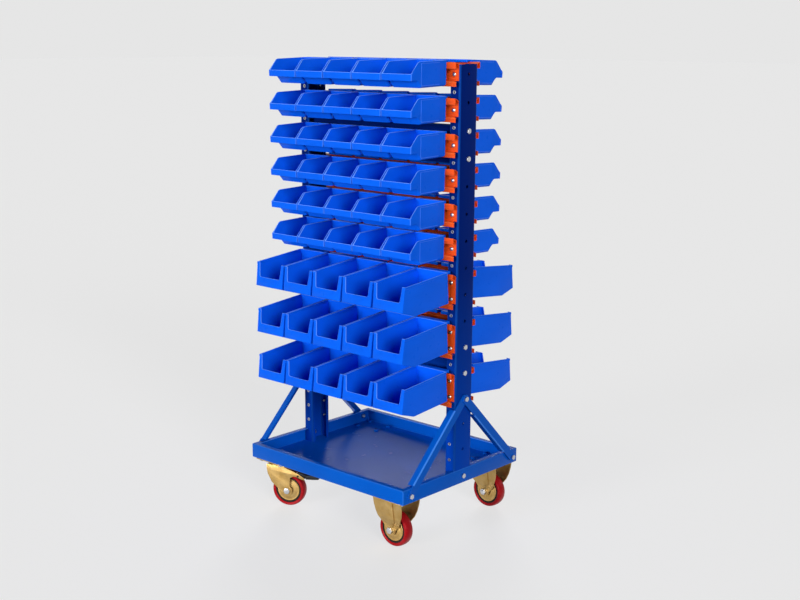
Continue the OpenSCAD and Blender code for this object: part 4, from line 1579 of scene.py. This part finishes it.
@dataclass(frozen=True)
class Bolt:
    """A hexagon bolt along +Z, with its nut."""

    diameter: float = 8.0
    across: float = 13.0
    head: float = 5.5
    nut_share: float = 0.8
    sunk: float = 0.2
    turns: int = 2
    pitch: float = 0.6
    thread_deep: float = 0.5
    tip: float = 2.0
    tip_chamfer: float = 0.9

    def shape(self, grip: float) -> Shape:
        """Returns the bolt with its head below z = 0 and its nut past its grip."""
        return self.shank(grip).add(hexagon(self.across, -self.head, 0.0))

    def shank(self, grip: float) -> Shape:
        """Makes the shank and the nut, with the end of the thread in view.

        Args:
            grip: The thickness that the bolt clamps.

        Returns:
            The shank and its nut.
        """
        r, top = self.diameter / 2, grip + self.nut_share * self.diameter
        end = top + self.tip
        profile = [(0.0, -self.sunk), (r, -self.sunk), (r, top)]
        for k in range(self.turns):
            foot = top + k * self.pitch
            profile += [(r - self.thread_deep, foot + self.pitch / 2), (r, foot + self.pitch)]
        profile += [(r - self.tip_chamfer, end), (0.0, end)]
        return hexagon(self.across, grip, top).lathe(profile, HERE, steps=20, closed=False)


@dataclass(frozen=True)
class RailScrew:
    """A pan-headed rail screw along +Z, with a cross recess."""

    head_d: float = 11.5
    head: float = 3.6
    rim: float = 0.4
    shank_d: float = 6.0
    length: float = 12.0
    recess_arm: float = 3.0
    recess_half: float = 0.6
    recess_deep: float = 1.5

    def shape(self) -> Shape:
        """Turns the screw and cuts its recess.

        Returns:
            The screw, with its head below z = 0.
        """
        d, r, top = self.head_d, self.shank_d / 2, -self.head
        pan = [(0.0, 0.0), (0.2, 0.1), (0.36, 0.8), (0.46, 1.9)]
        profile = [(share * d, top + down) for share, down in pan]
        profile += [(d / 2, -self.rim), (d / 2, 0.0), (r, 0.0)]
        profile += [(r, self.length), (0.0, self.length)]
        shape = Shape().lathe(profile, HERE, steps=24, closed=False)
        arm, half, deep = self.recess_arm, self.recess_half, self.recess_deep
        for x, y in ((arm, half), (half, arm)):
            shape.cut(Shape().box((-x, -y, top - deep), (x, y, top + deep)))
        return shape


@dataclass(frozen=True)
class FlangeInsert:
    """A threaded insert with a thin collar, along +Y."""

    collar: float = 4.8
    sleeve: float = 3.45
    bore: float = 2.6
    proud: float = 0.8
    deep: float = 8.0

    def shape(self) -> Shape:
        """Turns the insert.

        Returns:
            The insert, with its collar in front of y = 0.
        """
        edge = self.proud / 2
        profile = [
            (self.bore, -edge), (self.bore + edge, -self.proud), (self.collar - edge, -self.proud),
            (self.collar, -edge), (self.collar, 0.0), (self.sleeve, 0.0),
            (self.sleeve, self.deep), (self.bore, self.deep),
        ]
        return Shape().lathe(profile, quarter("X", -1.0), steps=20)


@dataclass
class Fasteners:
    """The bolts, washers, screws and inserts of the frame."""

    braces: Braces
    ties: Ties
    rails: Rails
    bolt: Bolt = Bolt()
    screw: RailScrew = RailScrew()
    screw_step: float = 0.7
    insert: FlangeInsert = FlangeInsert()
    washer_bore: float = 4.5
    washer_rim: float = 8.0
    washer_edge: float = 0.4

    @property
    def posts(self) -> Posts:
        """The posts."""
        return self.braces.posts

    @property
    def post_gap(self) -> float:
        """How far the posts' webs stand back from the tray's end walls."""
        return self.braces.tray.wall - self.posts.face

    def build(self, shop: Workshop) -> None:
        """Sets every fastener of the frame.

        Args:
            shop: Makes the pieces.
        """
        self._set_bolts(shop)
        self._set_washers(shop)
        self._set_screws(shop)
        self._set_inserts(shop)

    def _set_bolts(self, shop: Workshop) -> None:
        """Sets the bolts of the tray, braces and ties at both ends.

        Args:
            shop: Makes the pieces.
        """
        braces, posts, tray = self.braces, self.posts, self.braces.tray
        wall, low, one, two = tray.wall, tray.bolt_line, braces.thick, 2.0 * braces.thick
        tie_grip = posts.sheet + self.ties.plate_thick
        joints = [
            (wall, 0.0, low, tray.sheet + posts.sheet),
            (wall + one, -braces.reach, low, tray.sheet + one),
            (wall + two, braces.reach, low, tray.sheet + two),
            (wall + two, 0.0, braces.top, posts.sheet + self.post_gap + two),
        ]
        ties = [(posts.face, 0.0, posts.web_hole(k), tie_grip) for k in self.ties.bolt_holes]
        for name, places in (("frame_bolt", joints), ("tie_bolt", ties)):
            bolts = Shape()
            for end in End:
                for *at, grip in places:
                    place = end.mirror @ Matrix.Translation(at) @ quarter("Y", -1.0)
                    bolts.add(self.bolt.shape(grip).transform(place))
            shop.piece(bolts, f"{name}_set", Finish.BRIGHT_STEEL, FRAME, f"{name}s")

    def _set_washers(self, shop: Workshop) -> None:
        """Sets the washers that pack out the braces at the posts and at the tray's rear.

        Args:
            shop: Makes the piece.
        """
        braces, tray = self.braces, self.braces.tray
        bore, r, edge = self.washer_bore, self.washer_rim, self.washer_edge
        places = [
            (self.posts.face, 0.0, braces.top, self.post_gap),
            (tray.wall, braces.reach, tray.bolt_line, braces.thick),
        ]
        washers = Shape()
        for *at, t in places:
            ring = [
                (bore, 0.0), (r - edge, 0.0), (r, edge),
                (r, t - edge), (r - edge, t), (bore, t),
            ]
            for end in End:
                place = end.mirror @ Matrix.Translation(at) @ quarter("Y")
                washers.lathe(ring, place, steps=32)
        shop.piece(washers, "brace_washer_set", Finish.BRIGHT_STEEL, FRAME, "brace_washers")

    def _set_screws(self, shop: Workshop) -> None:
        """Sets the rail screws in both flanges of both posts, each turned its own way.

        Args:
            shop: Makes the piece.
        """
        pattern = self.screw.shape()
        screws = Shape()
        for k, end, place in self._flange_places(self.rails.rows.rail_holes, self.rails.sheet):
            spin = Matrix.Rotation(self.screw_step * k + end.sign, 4, "Z")
            screws.add(pattern.placed(place @ quarter("X", -1.0) @ spin))
        shop.piece(screws, "rail_screw_set", Finish.BRIGHT_STEEL, FRAME, "rail_screws")

    def _set_inserts(self, shop: Workshop) -> None:
        """Sets a threaded insert in every flange hole that no rail covers.

        Args:
            shop: Makes the piece.
        """
        covered = self.rails.rows.rail_holes
        free = [k for k in range(self.posts.flange_holes) if k not in covered]
        pattern = self.insert.shape()
        inserts = Shape()
        for _, _, place in self._flange_places(free, 0.0):
            inserts.add(pattern.placed(place))
        shop.piece(inserts, "flange_insert_set", Finish.BRIGHT_STEEL, FRAME)

    def _flange_places(self, holes: Sequence[int], out: float) -> list[tuple[int, End, Matrix]]:
        """Lists the places at some holes of all four flanges.

        Args:
            holes: The holes, counted from the top.
            out: How far in front of the flange the places are.

        Returns:
            The hole, the end of the trolley and the place of each.
        """
        places = []
        for side in Side:
            for end in End:
                for k in holes:
                    x, y = end.sign * self.posts.flange_x, -self.posts.flange_y - out
                    at = Matrix.Translation((x, y, self.posts.flange_hole(k)))
                    places.append((k, end, side.turn @ at))
        return places


@dataclass(frozen=True)
class Wheel:
    """A caster wheel about its own Z axis: core, tyre and disc covers."""

    radius: float = 49.99
    tyre_width: float = 30.0
    tyre_thick: float = 10.5
    tread: float = 10.0
    side_in: float = 2.0
    ring: float = 4.0
    web_half: float = 3.0
    edge: float = 0.8
    inner_edge: float = 0.6
    disc_gap: float = 1.3
    hub: float = 13.0
    hub_half: float = 19.6
    bore: float = 5.05
    fit: float = 0.05

    @property
    def seat(self) -> float:
        """The radius that the tyre is cast on."""
        return self.radius - self.tyre_thick

    @property
    def side(self) -> float:
        """The distance of the core's sides from its middle."""
        return self.tyre_width / 2 - self.side_in

    def tyre(self, place: Matrix) -> Shape:
        """Casts the tyre with round shoulders and a flat strip.

        Args:
            place: The wheel's place.

        Returns:
            The tyre.
        """
        half, strip = self.tyre_width / 2, self.tread / 2
        bead = [(0.0, 2.0), (1.2, 1.0), (3.2, 0.3), (6.0, 0.0)]
        shoulder = [(3.6, 0.5), (2.2, 1.7), (1.2, 3.6)]
        crown = [(0.45, 2.6), (0.12, 0.6), (0.0, 0.0)]
        upper = [(self.seat + out, half - down) for out, down in bead]
        upper += [(self.radius - deep, half - down) for deep, down in shoulder]
        upper += [(self.radius - deep, strip + up) for deep, up in crown]
        return Shape().lathe(both_halves(upper), place, steps=72)

    def core(self, place: Matrix) -> Shape:
        """Moulds the black core: rim ring, web and hub.

        Args:
            place: The wheel's place.

        Returns:
            The core.
        """
        rim, side, top = self.seat - self.fit, self.side, self.hub_half
        inner, edge, small = rim - self.ring, self.edge, self.inner_edge
        upper = [
            (self.bore, top), (self.hub - edge, top), (self.hub, top - edge),
            (self.hub, self.web_half), (inner, self.web_half), (inner, side - small),
            (inner + small, side), (rim - edge, side), (rim, side - edge),
        ]
        return Shape().lathe(both_halves(upper), place, steps=64)

    def discs(self, place: Matrix) -> Shape:
        """Presses the two disc covers, dished round the hub.

        Args:
            place: The wheel's place.

        Returns:
            Both covers.
        """
        outer, side = self.seat - self.ring - self.disc_gap, self.side
        under = [(self.fit, 1.8), (7.0, 1.8), (8.6, 0.6)]
        rim = [(1.6, -5.0), (0.0, -5.0), (0.0, -1.2), (0.8, -0.3), (3.0, 0.0), (4.2, -0.2)]
        crown = [(10.0, 2.2), (8.6, 2.9), (self.fit, 3.0)]
        cover = [(self.hub + out, side + up) for out, up in under]
        cover += [(outer - deep, side + up) for deep, up in rim]
        cover += [(self.hub + out, side + up) for out, up in crown]
        shape = Shape()
        for sign in (1.0, -1.0):
            shape.lathe([(r, sign * h) for r, h in cover], place, steps=64)
        return shape


@dataclass(frozen=True)
class Forks:
    """Pressed forks, plates and pedals, drawn below a caster's deck at z = 0."""

    plate: Point3 = (104.0, 85.0, 3.0)
    plate_corner: float = 6.0
    edge: float = 0.6
    sheet: float = 2.5
    gap: float = 40.0
    drop: float = 91.0
    foot: float = 15.5
    spread: float = 39.0
    draw: float = 30.0
    draw_shares: Point2 = (0.6, 0.82)
    draw_round: float = 5.0
    draw_degrees: float = 6.0
    rib_out: float = 2.0
    rib_width: float = 40.0
    boss: float = 13.0
    bore: float = 5.05
    sunk: float = 0.2
    race: float = 28.0
    race_height: float = 10.7
    head_top: float = -14.1
    head_over: float = 1.0
    wing_edge: float = 0.7
    trail: float = 36.0
    wing: float = 55.0
    pin: Point2 = (70.0, -42.77)
    pin_d: float = 6.0
    pin_over: float = 2.0
    pin_edge: float = 0.5
    play: float = 0.4
    toe: float = 8.6
    toe_from: float = -102.2
    toe_to: float = -89.2
    lever_length: float = 26.0
    lever_height: float = 10.0
    lever_edge: float = 0.8
    lever_overlap: float = 0.5
    tread_length: float = 68.0
    tread_width: float = 54.0
    tread_edge: float = 1.6
    king_d: float = 12.0
    king_across: float = 18.0

    def deck(self) -> Shape:
        """Makes a caster's plate with rounded corners.

        Returns:
            The plate.
        """
        length, width, thick = self.plate
        shape = Shape().box((-length / 2, -width / 2, -thick), (length / 2, width / 2, 0.0))
        upright = [e for e in shape.bm.edges if abs(e.verts[0].co.z - e.verts[1].co.z) > MERGE]
        return shape.bevel(upright, self.plate_corner, segments=5).soften(self.edge)

    def fixed(self) -> Shape:
        """Presses a fixed fork: its plate and two drawn-in legs with a rib and a boss.

        Returns:
            The fork.
        """
        out, edge = self.rib_out, self.edge
        boss = [
            (self.bore, -self.sunk), (self.boss, -self.sunk), (self.boss, out - edge),
            (self.boss - edge, out), (self.bore, out),
        ]
        at_axle = Matrix.Translation((0.0, self.gap / 2 + self.sheet, -self.drop))
        leg = self._leg(self._fixed_outline(), 0.0).add(self._leg(self._rib_outline(), out))
        leg.lathe(boss, at_axle @ quarter("X", -1.0), steps=40)
        return self.deck().add(leg).add(leg.placed(flip(Y_AXIS)))

    def _fixed_outline(self) -> list[Point2]:
        """Draws a fixed leg, wide at the plate and round at its foot.

        Returns:
            Its outline in (X, Z).
        """
        top, z = self.plate[0] / 2 - self.sheet / 2, -self.drop
        shares = [(1.0, 0.018), (0.99, 0.22), (0.92, 0.44), (0.78, 0.64), (0.58, 0.82)]
        flank = [(top * across, z * down) for across, down in shares]
        foot = arc((0.0, z), self.foot, 180.0, 360.0, steps=12)
        return [(-x, h) for x, h in flank] + foot + flank[::-1]

    def _rib_outline(self) -> list[Point2]:
        """Draws the rib of a fixed leg.

        Returns:
            Its outline in (X, Z).
        """
        half, z = self.rib_width / 2, -self.drop
        flank = [(half, -1.5), (half, 0.62 * z), (half / 2, 0.86 * z)]
        return flank + [(-x, h) for x, h in reversed(flank)]

    def _leg(self, outline: Sequence[Point2], out: float) -> Shape:
        """Presses a leg's sheet: drawn in from the plate's edge to the hub.

        Args:
            outline: Its outline in (X, Z).
            out: How far it stands out from the leg's own sheet.

        Returns:
            The leg at +Y.
        """
        near = self.gap / 2 + self.sheet / 2
        upper, lower = (-share * self.drop for share in self.draw_shares)
        path = [(0.0, self.spread), (upper, self.draw), (lower, near), (-2.0 * self.drop, near)]
        shape = Shape()
        bm = shape.bm
        face = bm.faces.new([bm.verts.new((x, 0.0, z)) for x, z in outline])
        face.normal_update()
        if face.normal.y < 0:
            bmesh.ops.reverse_faces(bm, faces=[face])
        for z in (upper, lower):
            shape.score(bm.faces[:], Z_AXIS * z, Z_AXIS)
        for vert in bm.verts:
            z = vert.co.z
            (z0, y0), (z1, y1) = next((a, b) for a, b in zip(path, path[1:]) if z >= b[0])
            vert.co.y = y0 + (y1 - y0) * (z - z0) / (z1 - z0) + out + self.sheet / 2
        bm.normal_update()
        shape.bevel(shape.folds(self.draw_degrees), self.draw_round, segments=4)
        return shape.thicken(self.sheet, self.edge)

    def swivel_plate(self) -> Shape:
        """Makes a swivel plate with its ball race.

        Returns:
            The plate and its race.
        """
        low, high = -self.plate[2] - self.race_height, self.sunk - self.plate[2]
        rim, bore = self.race, self.king_across / 2
        flare = [(5.0, 0.0), (4.0, 1.0), (1.0, 6.0), (0.0, 8.0)]
        cup = [(bore, low), *((rim - deep, low + up) for deep, up in flare)]
        cup += [(rim, high), (bore, high)]
        return self.deck().lathe(cup, HERE, steps=48)

    def swivel(self) -> Shape:
        """Presses a swivel fork: a round head and two winged legs.

        Returns:
            The fork, with its swivel's axis at the origin.
        """
        inside, outside = self.gap / 2, self.gap / 2 + self.sheet
        radius = self.race + self.head_over
        reach = math.degrees(math.asin(outside / radius))
        rim = arc((0.0, 0.0), radius, -reach, reach, steps=16)
        head = rim + [(-x, -y) for x, y in rim]
        shape = Shape().prism(head, Plane.XY, self.head_top - self.sheet, self.head_top)
        for low, high in ((inside, outside), (-outside, -inside)):
            leg = Shape().prism(self._wing_outline(), Plane.XZ, low, high)
            shape.add(leg.soften(self.wing_edge))
        return shape

    def _wing_outline(self) -> list[Point2]:
        """Draws a swivel leg with its wing over the wheel.

        Returns:
            Its outline in (X, Z).
        """
        z, t, w, r = -self.drop, self.trail, self.wing, self.race
        foot, over = 0.95 * self.foot, self.head_over
        front = [
            (-r - over, self.head_top), (-r, 0.33 * z), (-0.9 * r, 0.48 * z),
            (-0.47 * r, 0.75 * z), (t - 2.0 * foot, 0.95 * z),
        ]
        heel = arc((t, z), self.foot, 180.0, 420.0, steps=16)
        wing = [
            (0.6 * foot, 0.56), (0.36 * w, 0.5), (0.56 * w, 0.51), (0.78 * w, 0.565),
            (w - 2.0, 0.59), (w, 0.53), (0.65 * w, 0.4), (0.28 * w, 0.31),
        ]
        back = [(r + over, 0.23 * z), (r - 3.0, self.head_top)]
        return front + heel + [(t + x, z * h) for x, h in wing] + back

    def pedal(self) -> Shape:
        """Moulds a brake pedal: a lever with a toe, and a wide tread.

        Returns:
            The pedal and its pin, about the pin.
        """
        d, stem, h = self.pin_d, self.lever_length, self.lever_height
        length, half_tread = self.tread_length, self.tread_width / 2
        root = stem + self.lever_overlap
        toe = arc((0.0, 0.0), self.toe, self.toe_from, self.toe_to, steps=1)
        lever = [
            (-d, 0.7 * h), (-1.2 * d, 0.0), (-d, -0.4 * h), *toe, (d, -0.7 * h),
            (root, -0.6 * h), (root, 0.6 * h), (0.6 * d, 0.9 * h),
        ]
        tread = [
            (stem, 0.6 * h), (stem, -0.6 * h), (0.7 * length, -0.5 * h), (0.97 * length, -0.3 * h),
            (length, 0.2 * h), (0.95 * length, 0.5 * h), (0.65 * length, 0.75 * h),
        ]
        half, over = self.gap / 2 - self.play, self.gap / 2 + self.sheet + self.pin_over
        shape = Shape().prism(lever, Plane.XZ, -half, half).soften(self.lever_edge)
        foot_rest = Shape().prism(tread, Plane.XZ, -half_tread, half_tread)
        shape.add(foot_rest.soften(self.tread_edge, segments=3))
        pin = Shape().rod(d / 2, -over, over, quarter("X"))
        return shape.add(pin.soften(self.pin_edge))


@dataclass
class Casters:
    """Two fixed casters on the right and two braked swivel casters on the left."""

    tray: Tray
    x: float = 236.0
    y: float = 205.0
    front_turn: float = 25.0
    rear_turn: float = 0.0
    hole_pitch: Point2 = (80.0, 56.0)
    bolt: Bolt = Bolt()
    axle: Bolt = Bolt(10.0, 17.0, 6.4)
    king_head: Point2 = (-7.0, -1.0)
    king_nut: float = 0.7
    king_tip: float = 2.0
    king_edge: float = 0.8
    wheel: Wheel = Wheel()
    forks: Forks = Forks()

    def build(self, shop: Workshop) -> None:
        """Builds all four casters.

        Args:
            shop: Makes the pieces.
        """
        forks = self.forks
        plates, kings, axles, heads, nuts = (Shape() for _ in range(5))
        hub = Matrix.Translation((0.0, 0.0, -forks.drop))
        trail = Matrix.Translation((forks.trail, 0.0, -forks.drop))
        for side in Side:
            right, left = f"right_{side.value}", f"left_{side.value}"
            fixed = Matrix.Translation((self.x, side.sign * self.y, self.tray.low))
            pivot = Matrix.Translation((-self.x, side.sign * self.y, self.tray.low))
            turned = pivot @ Matrix.Rotation(math.radians(self._turn(side)), 4, "Z")
            legs = forks.fixed().transform(fixed)
            shop.piece(legs, f"{right}_fork_legs", Finish.GOLD_ZINC, FRAME, f"{right}_fork")
            axles.add(self._axle(forks.rib_out, side).transform(fixed @ hub))
            plates.add(forks.swivel_plate().transform(pivot))
            kings.add(self._king_bolt().transform(pivot))
            self._swivel(shop, left, side, turned, turned @ trail)
            self._wheel(shop, right, fixed @ hub)
            self._wheel(shop, left, turned @ trail)
            for place in (fixed, pivot):
                self._deck_bolts(heads, nuts, place)
        for shape, name, finish, node in (
            (axles, "fixed_axle_set", Finish.BRIGHT_STEEL, "fixed_axles"),
            (plates, "swivel_plate_set", Finish.GOLD_ZINC, "swivel_plates"),
            (kings, "king_bolt_set", Finish.BRIGHT_STEEL, "king_bolts"),
            (heads, "caster_bolt_heads", Finish.FRAME_PAINT, "caster_bolts"),
            (nuts, "caster_bolt_nuts", Finish.BRIGHT_STEEL, "caster_bolts"),
        ):
            shop.piece(shape, name, finish, FRAME, node)

    def _turn(self, side: Side) -> float:
        """Returns a swivel fork's turn at rest, in degrees."""
        return self.rear_turn if side is Side.REAR else self.front_turn

    def _wheel(self, shop: Workshop, name: str, place: Matrix) -> None:
        """Builds one wheel.

        Args:
            shop: Makes the pieces.
            name: The caster's name.
            place: The place of its axle.
        """
        upright = place @ quarter("X")
        for part, make, finish in (
            ("core", self.wheel.core, Finish.BLACK_PLASTIC),
            ("tyre", self.wheel.tyre, Finish.RED_TYRE),
            ("discs", self.wheel.discs, Finish.GOLD_ZINC),
        ):
            body = f"{name}_wheel"
            shop.piece(make(upright), f"{body}_{part}", finish, body, f"{name}_{part}")

    def _swivel(
        self, shop: Workshop, name: str, side: Side, turned: Matrix, trailed: Matrix
    ) -> None:
        """Builds one swivel fork with its axle and its brake pedal.

        Args:
            shop: Makes the pieces.
            name: The caster's name.
            side: The side of the trolley that it is on.
            turned: The fork's place at rest.
            trailed: The place of its axle.
        """
        body = f"{name}_swivel"
        fork = self.forks.swivel().transform(turned)
        shop.piece(fork, f"{name}_fork_wings", Finish.GOLD_ZINC, body, f"{name}_fork")
        axle = self._axle(0.0, side).transform(trailed)
        shop.piece(axle, f"{name}_axle_bolt", Finish.BRIGHT_STEEL, body, f"{name}_axle")
        pin_x, pin_z = self.forks.pin
        pedal = self.forks.pedal().transform(turned @ Matrix.Translation((pin_x, 0.0, pin_z)))
        brake = f"{name}_brake"
        shop.piece(pedal, f"{name}_pedal_lever", Finish.BLACK_PLASTIC, brake, f"{name}_pedal")

    def _axle(self, boss: float, side: Side) -> Shape:
        """Makes an axle bolt along Y with its head on the outer side.

        Args:
            boss: The height of the bosses that it clamps.
            side: The side of the trolley.

        Returns:
            The bolt and its nut about the origin.
        """
        face = self.forks.gap / 2 + self.forks.sheet + boss
        along = Matrix.Translation((0.0, -face, 0.0)) @ quarter("X", -1.0)
        return self.axle.shape(2.0 * face).transform(flip(Y_AXIS, -side.sign) @ along)

    def _king_bolt(self) -> Shape:
        """Makes a king bolt: its head in the plate and its nut under the fork's head.

        Returns:
            The bolt and its nut.
        """
        forks, (head_low, head_high) = self.forks, self.king_head
        d, across = forks.king_d, forks.king_across
        high = forks.head_top - forks.sheet - forks.play
        low = high - self.king_nut * d
        shape = hexagon(across, head_low, head_high).add(hexagon(across, low, high))
        shank = Shape().rod(d / 2, low - self.king_tip, head_low + forks.sunk, HERE)
        return shape.add(shank.soften(self.king_edge))

    def _deck_bolts(self, heads: Shape, nuts: Shape, place: Matrix) -> None:
        """Adds the heads and the nuts of the four bolts through one plate.

        Args:
            heads: Takes the painted heads.
            nuts: Takes the shanks and nuts.
            place: The caster's place at the deck.
        """
        bolt, (along, across), sheet = self.bolt, self.hole_pitch, self.tray.sheet
        for dx in (-along / 2, along / 2):
            for dy in (-across / 2, across / 2):
                at = place @ Matrix.Translation((dx, dy, sheet))
                heads.add(hexagon(bolt.across, 0.0, bolt.head).transform(at))
                shank = bolt.shank(sheet + self.forks.plate[2])
                nuts.add(shank.transform(at @ quarter("X", 2.0)))


@dataclass(frozen=True)
class Sun:
    """A wide soft light: where it comes from, its strength and its spread in degrees."""

    name: str
    towards: Point3
    strength: float
    spread: float
    in_gloss: bool = True

    def hang(self) -> None:
        """Adds the lamp."""
        lamp = bpy.data.lights.new(self.name, "SUN")
        lamp.energy = self.strength
        lamp.angle = math.radians(self.spread)
        thing = link(self.name, lamp)
        thing.rotation_euler = Vector(self.towards).to_track_quat("Z", "Y").to_euler()
        thing.visible_glossy = self.in_gloss


@dataclass(frozen=True)
class Studio:
    """Floor, lights and camera."""

    paper: Colour = (0.79, 0.79, 0.79)
    paper_glow: Colour = (0.67, 0.67, 0.67)
    paper_shade: Colour = (0.25, 0.25, 0.25)
    bounce: Colour = (0.5, 0.5, 0.5)
    ambient: Colour = (0.05, 0.05, 0.05)
    floor_reach: float = 60.0
    key: Sun = Sun("key_light", (0.88, -0.42, 0.27), 2.05, 24.0)
    fill: Sun = Sun("fill_light", (-0.1, -0.99, 0.1), 2.8, 22.0)
    back: Sun = Sun("back_light", (-0.6, 0.78, 0.2), 3.0, 26.0, in_gloss=False)
    eye: Point3 = (2.393264, -2.596057, 1.35816)
    yaw: float = 42.047
    pitch: float = 13.776
    roll: float = 0.238
    focal_px: float = 1259.053
    centre_px: Point2 = (397.412, 343.314)
    image_px: Point2 = (800.0, 600.0)
    sensor: float = 36.0
    far_clip: float = 200.0

    def build(self) -> None:
        """Sets up the floor, the light and the camera."""
        self._lay_floor()
        for sun in (self.key, self.fill, self.back):
            sun.hang()
        self._set_background()
        self._set_camera()
        bpy.context.scene.view_settings.view_transform = "Standard"

    def _lay_floor(self) -> None:
        """Lays a wide pale floor that runs into the background and keeps a faint shadow."""
        bm = bmesh.new()
        bmesh.ops.create_grid(bm, x_segments=1, y_segments=1, size=self.floor_reach)
        mesh = bpy.data.meshes.new("floor")
        bm.to_mesh(mesh)
        bm.free()
        paper = bpy.data.materials.new("floor_paper")
        paper.use_nodes = True
        tree = paper.node_tree
        tree.nodes.remove(tree.nodes["Principled BSDF"])
        seen = tree.nodes.new("ShaderNodeAddShader").outputs["Shader"]
        shade = self._shader(tree, "ShaderNodeBsdfDiffuse", self.paper_shade)
        glow = self._shader(tree, "ShaderNodeEmission", self.paper_glow)
        for socket, part in zip(seen.node.inputs, (shade, glow)):
            tree.links.new(part, socket)
        hidden = self._shader(tree, "ShaderNodeBsdfDiffuse", self.bounce)
        self._seen_or_hidden(tree, seen, hidden, "Material Output")
        mesh.materials.append(paper)
        link("floor", mesh)

    def _set_background(self) -> None:
        """Sets a pale background in view, and a faint light from all round."""
        world = bpy.data.worlds.new("studio")
        bpy.context.scene.world = world
        world.use_nodes = True
        tree = world.node_tree
        tree.nodes.remove(tree.nodes["Background"])
        seen = self._shader(tree, "ShaderNodeBackground", self.paper)
        hidden = self._shader(tree, "ShaderNodeBackground", self.ambient)
        self._seen_or_hidden(tree, seen, hidden, "World Output")

    @staticmethod
    def _shader(tree: bpy.types.NodeTree, kind: str, colour: Colour) -> Socket:
        """Adds a plain shader.

        Args:
            tree: The node tree of the floor or the world.
            kind: The shader's node type.
            colour: Its colour.

        Returns:
            The shader's output.
        """
        node = tree.nodes.new(kind)
        node.inputs["Color"].default_value = (*colour, 1.0)
        return node.outputs[0]

    @staticmethod
    def _seen_or_hidden(
        tree: bpy.types.NodeTree, seen: Socket, hidden: Socket, output: str
    ) -> None:
        """Shows one shader to the camera and in gloss, and lights the object with another.

        Args:
            tree: The node tree of the floor or the world.
            seen: The shader that is looked at.
            hidden: The shader that lights the object.
            output: The name of the tree's output node.
        """
        rays = tree.nodes.new("ShaderNodeLightPath").outputs
        share = rays["Is Camera Ray"]
        for name in ("Is Glossy Ray", "Is Transmission Ray"):
            either = tree.nodes.new("ShaderNodeMath")
            either.operation = "MAXIMUM"
            tree.links.new(share, either.inputs[0])
            tree.links.new(rays[name], either.inputs[1])
            share = either.outputs["Value"]
        choice = tree.nodes.new("ShaderNodeMixShader")
        tree.links.new(share, choice.inputs["Fac"])
        tree.links.new(hidden, choice.inputs[1])
        tree.links.new(seen, choice.inputs[2])
        tree.links.new(choice.outputs["Shader"], tree.nodes[output].inputs["Surface"])

    def _set_camera(self) -> None:
        """Places the camera where the photograph was taken from."""
        yaw, pitch, roll = (math.radians(a) for a in (self.yaw, self.pitch, self.roll))
        level = Vector((math.sin(yaw), -math.cos(yaw), 0.0))
        back = level * math.cos(pitch) + Z_AXIS * math.sin(pitch)
        flat = Vector((math.cos(yaw), math.sin(yaw), 0.0))
        upright = back.cross(flat)
        right = flat * math.cos(roll) + upright * math.sin(roll)
        up = upright * math.cos(roll) - flat * math.sin(roll)
        width, height = self.image_px
        lens = bpy.data.cameras.new("camera")
        lens.sensor_width = self.sensor
        lens.lens = self.focal_px / width * self.sensor
        lens.shift_x = (width / 2 - self.centre_px[0]) / width
        lens.shift_y = (self.centre_px[1] - height / 2) / width
        lens.clip_end = self.far_clip
        eye = link("camera", lens)
        turn = Matrix((right, up, back)).transposed().to_4x4()
        eye.matrix_world = Matrix.Translation(self.eye) @ turn
        bpy.context.scene.camera = eye


def main() -> None:
    """Builds the whole trolley around the frame."""
    logging.basicConfig(level=logging.INFO, format="%(name)s %(message)s")
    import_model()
    shop = Workshop(Palette())
    Studio().build()
    tray, posts = Tray(), Posts()
    braces, ties, rails = Braces(tray, posts), Ties(posts), Rails(Rows(posts))
    fasteners = Fasteners(braces, ties, rails)
    for part in (tray, posts, braces, ties, rails, Bins(rails), fasteners, Casters(tray)):
        part.build(shop)
    bpy.context.view_layer.update()


if __name__ == "__main__":
    main()
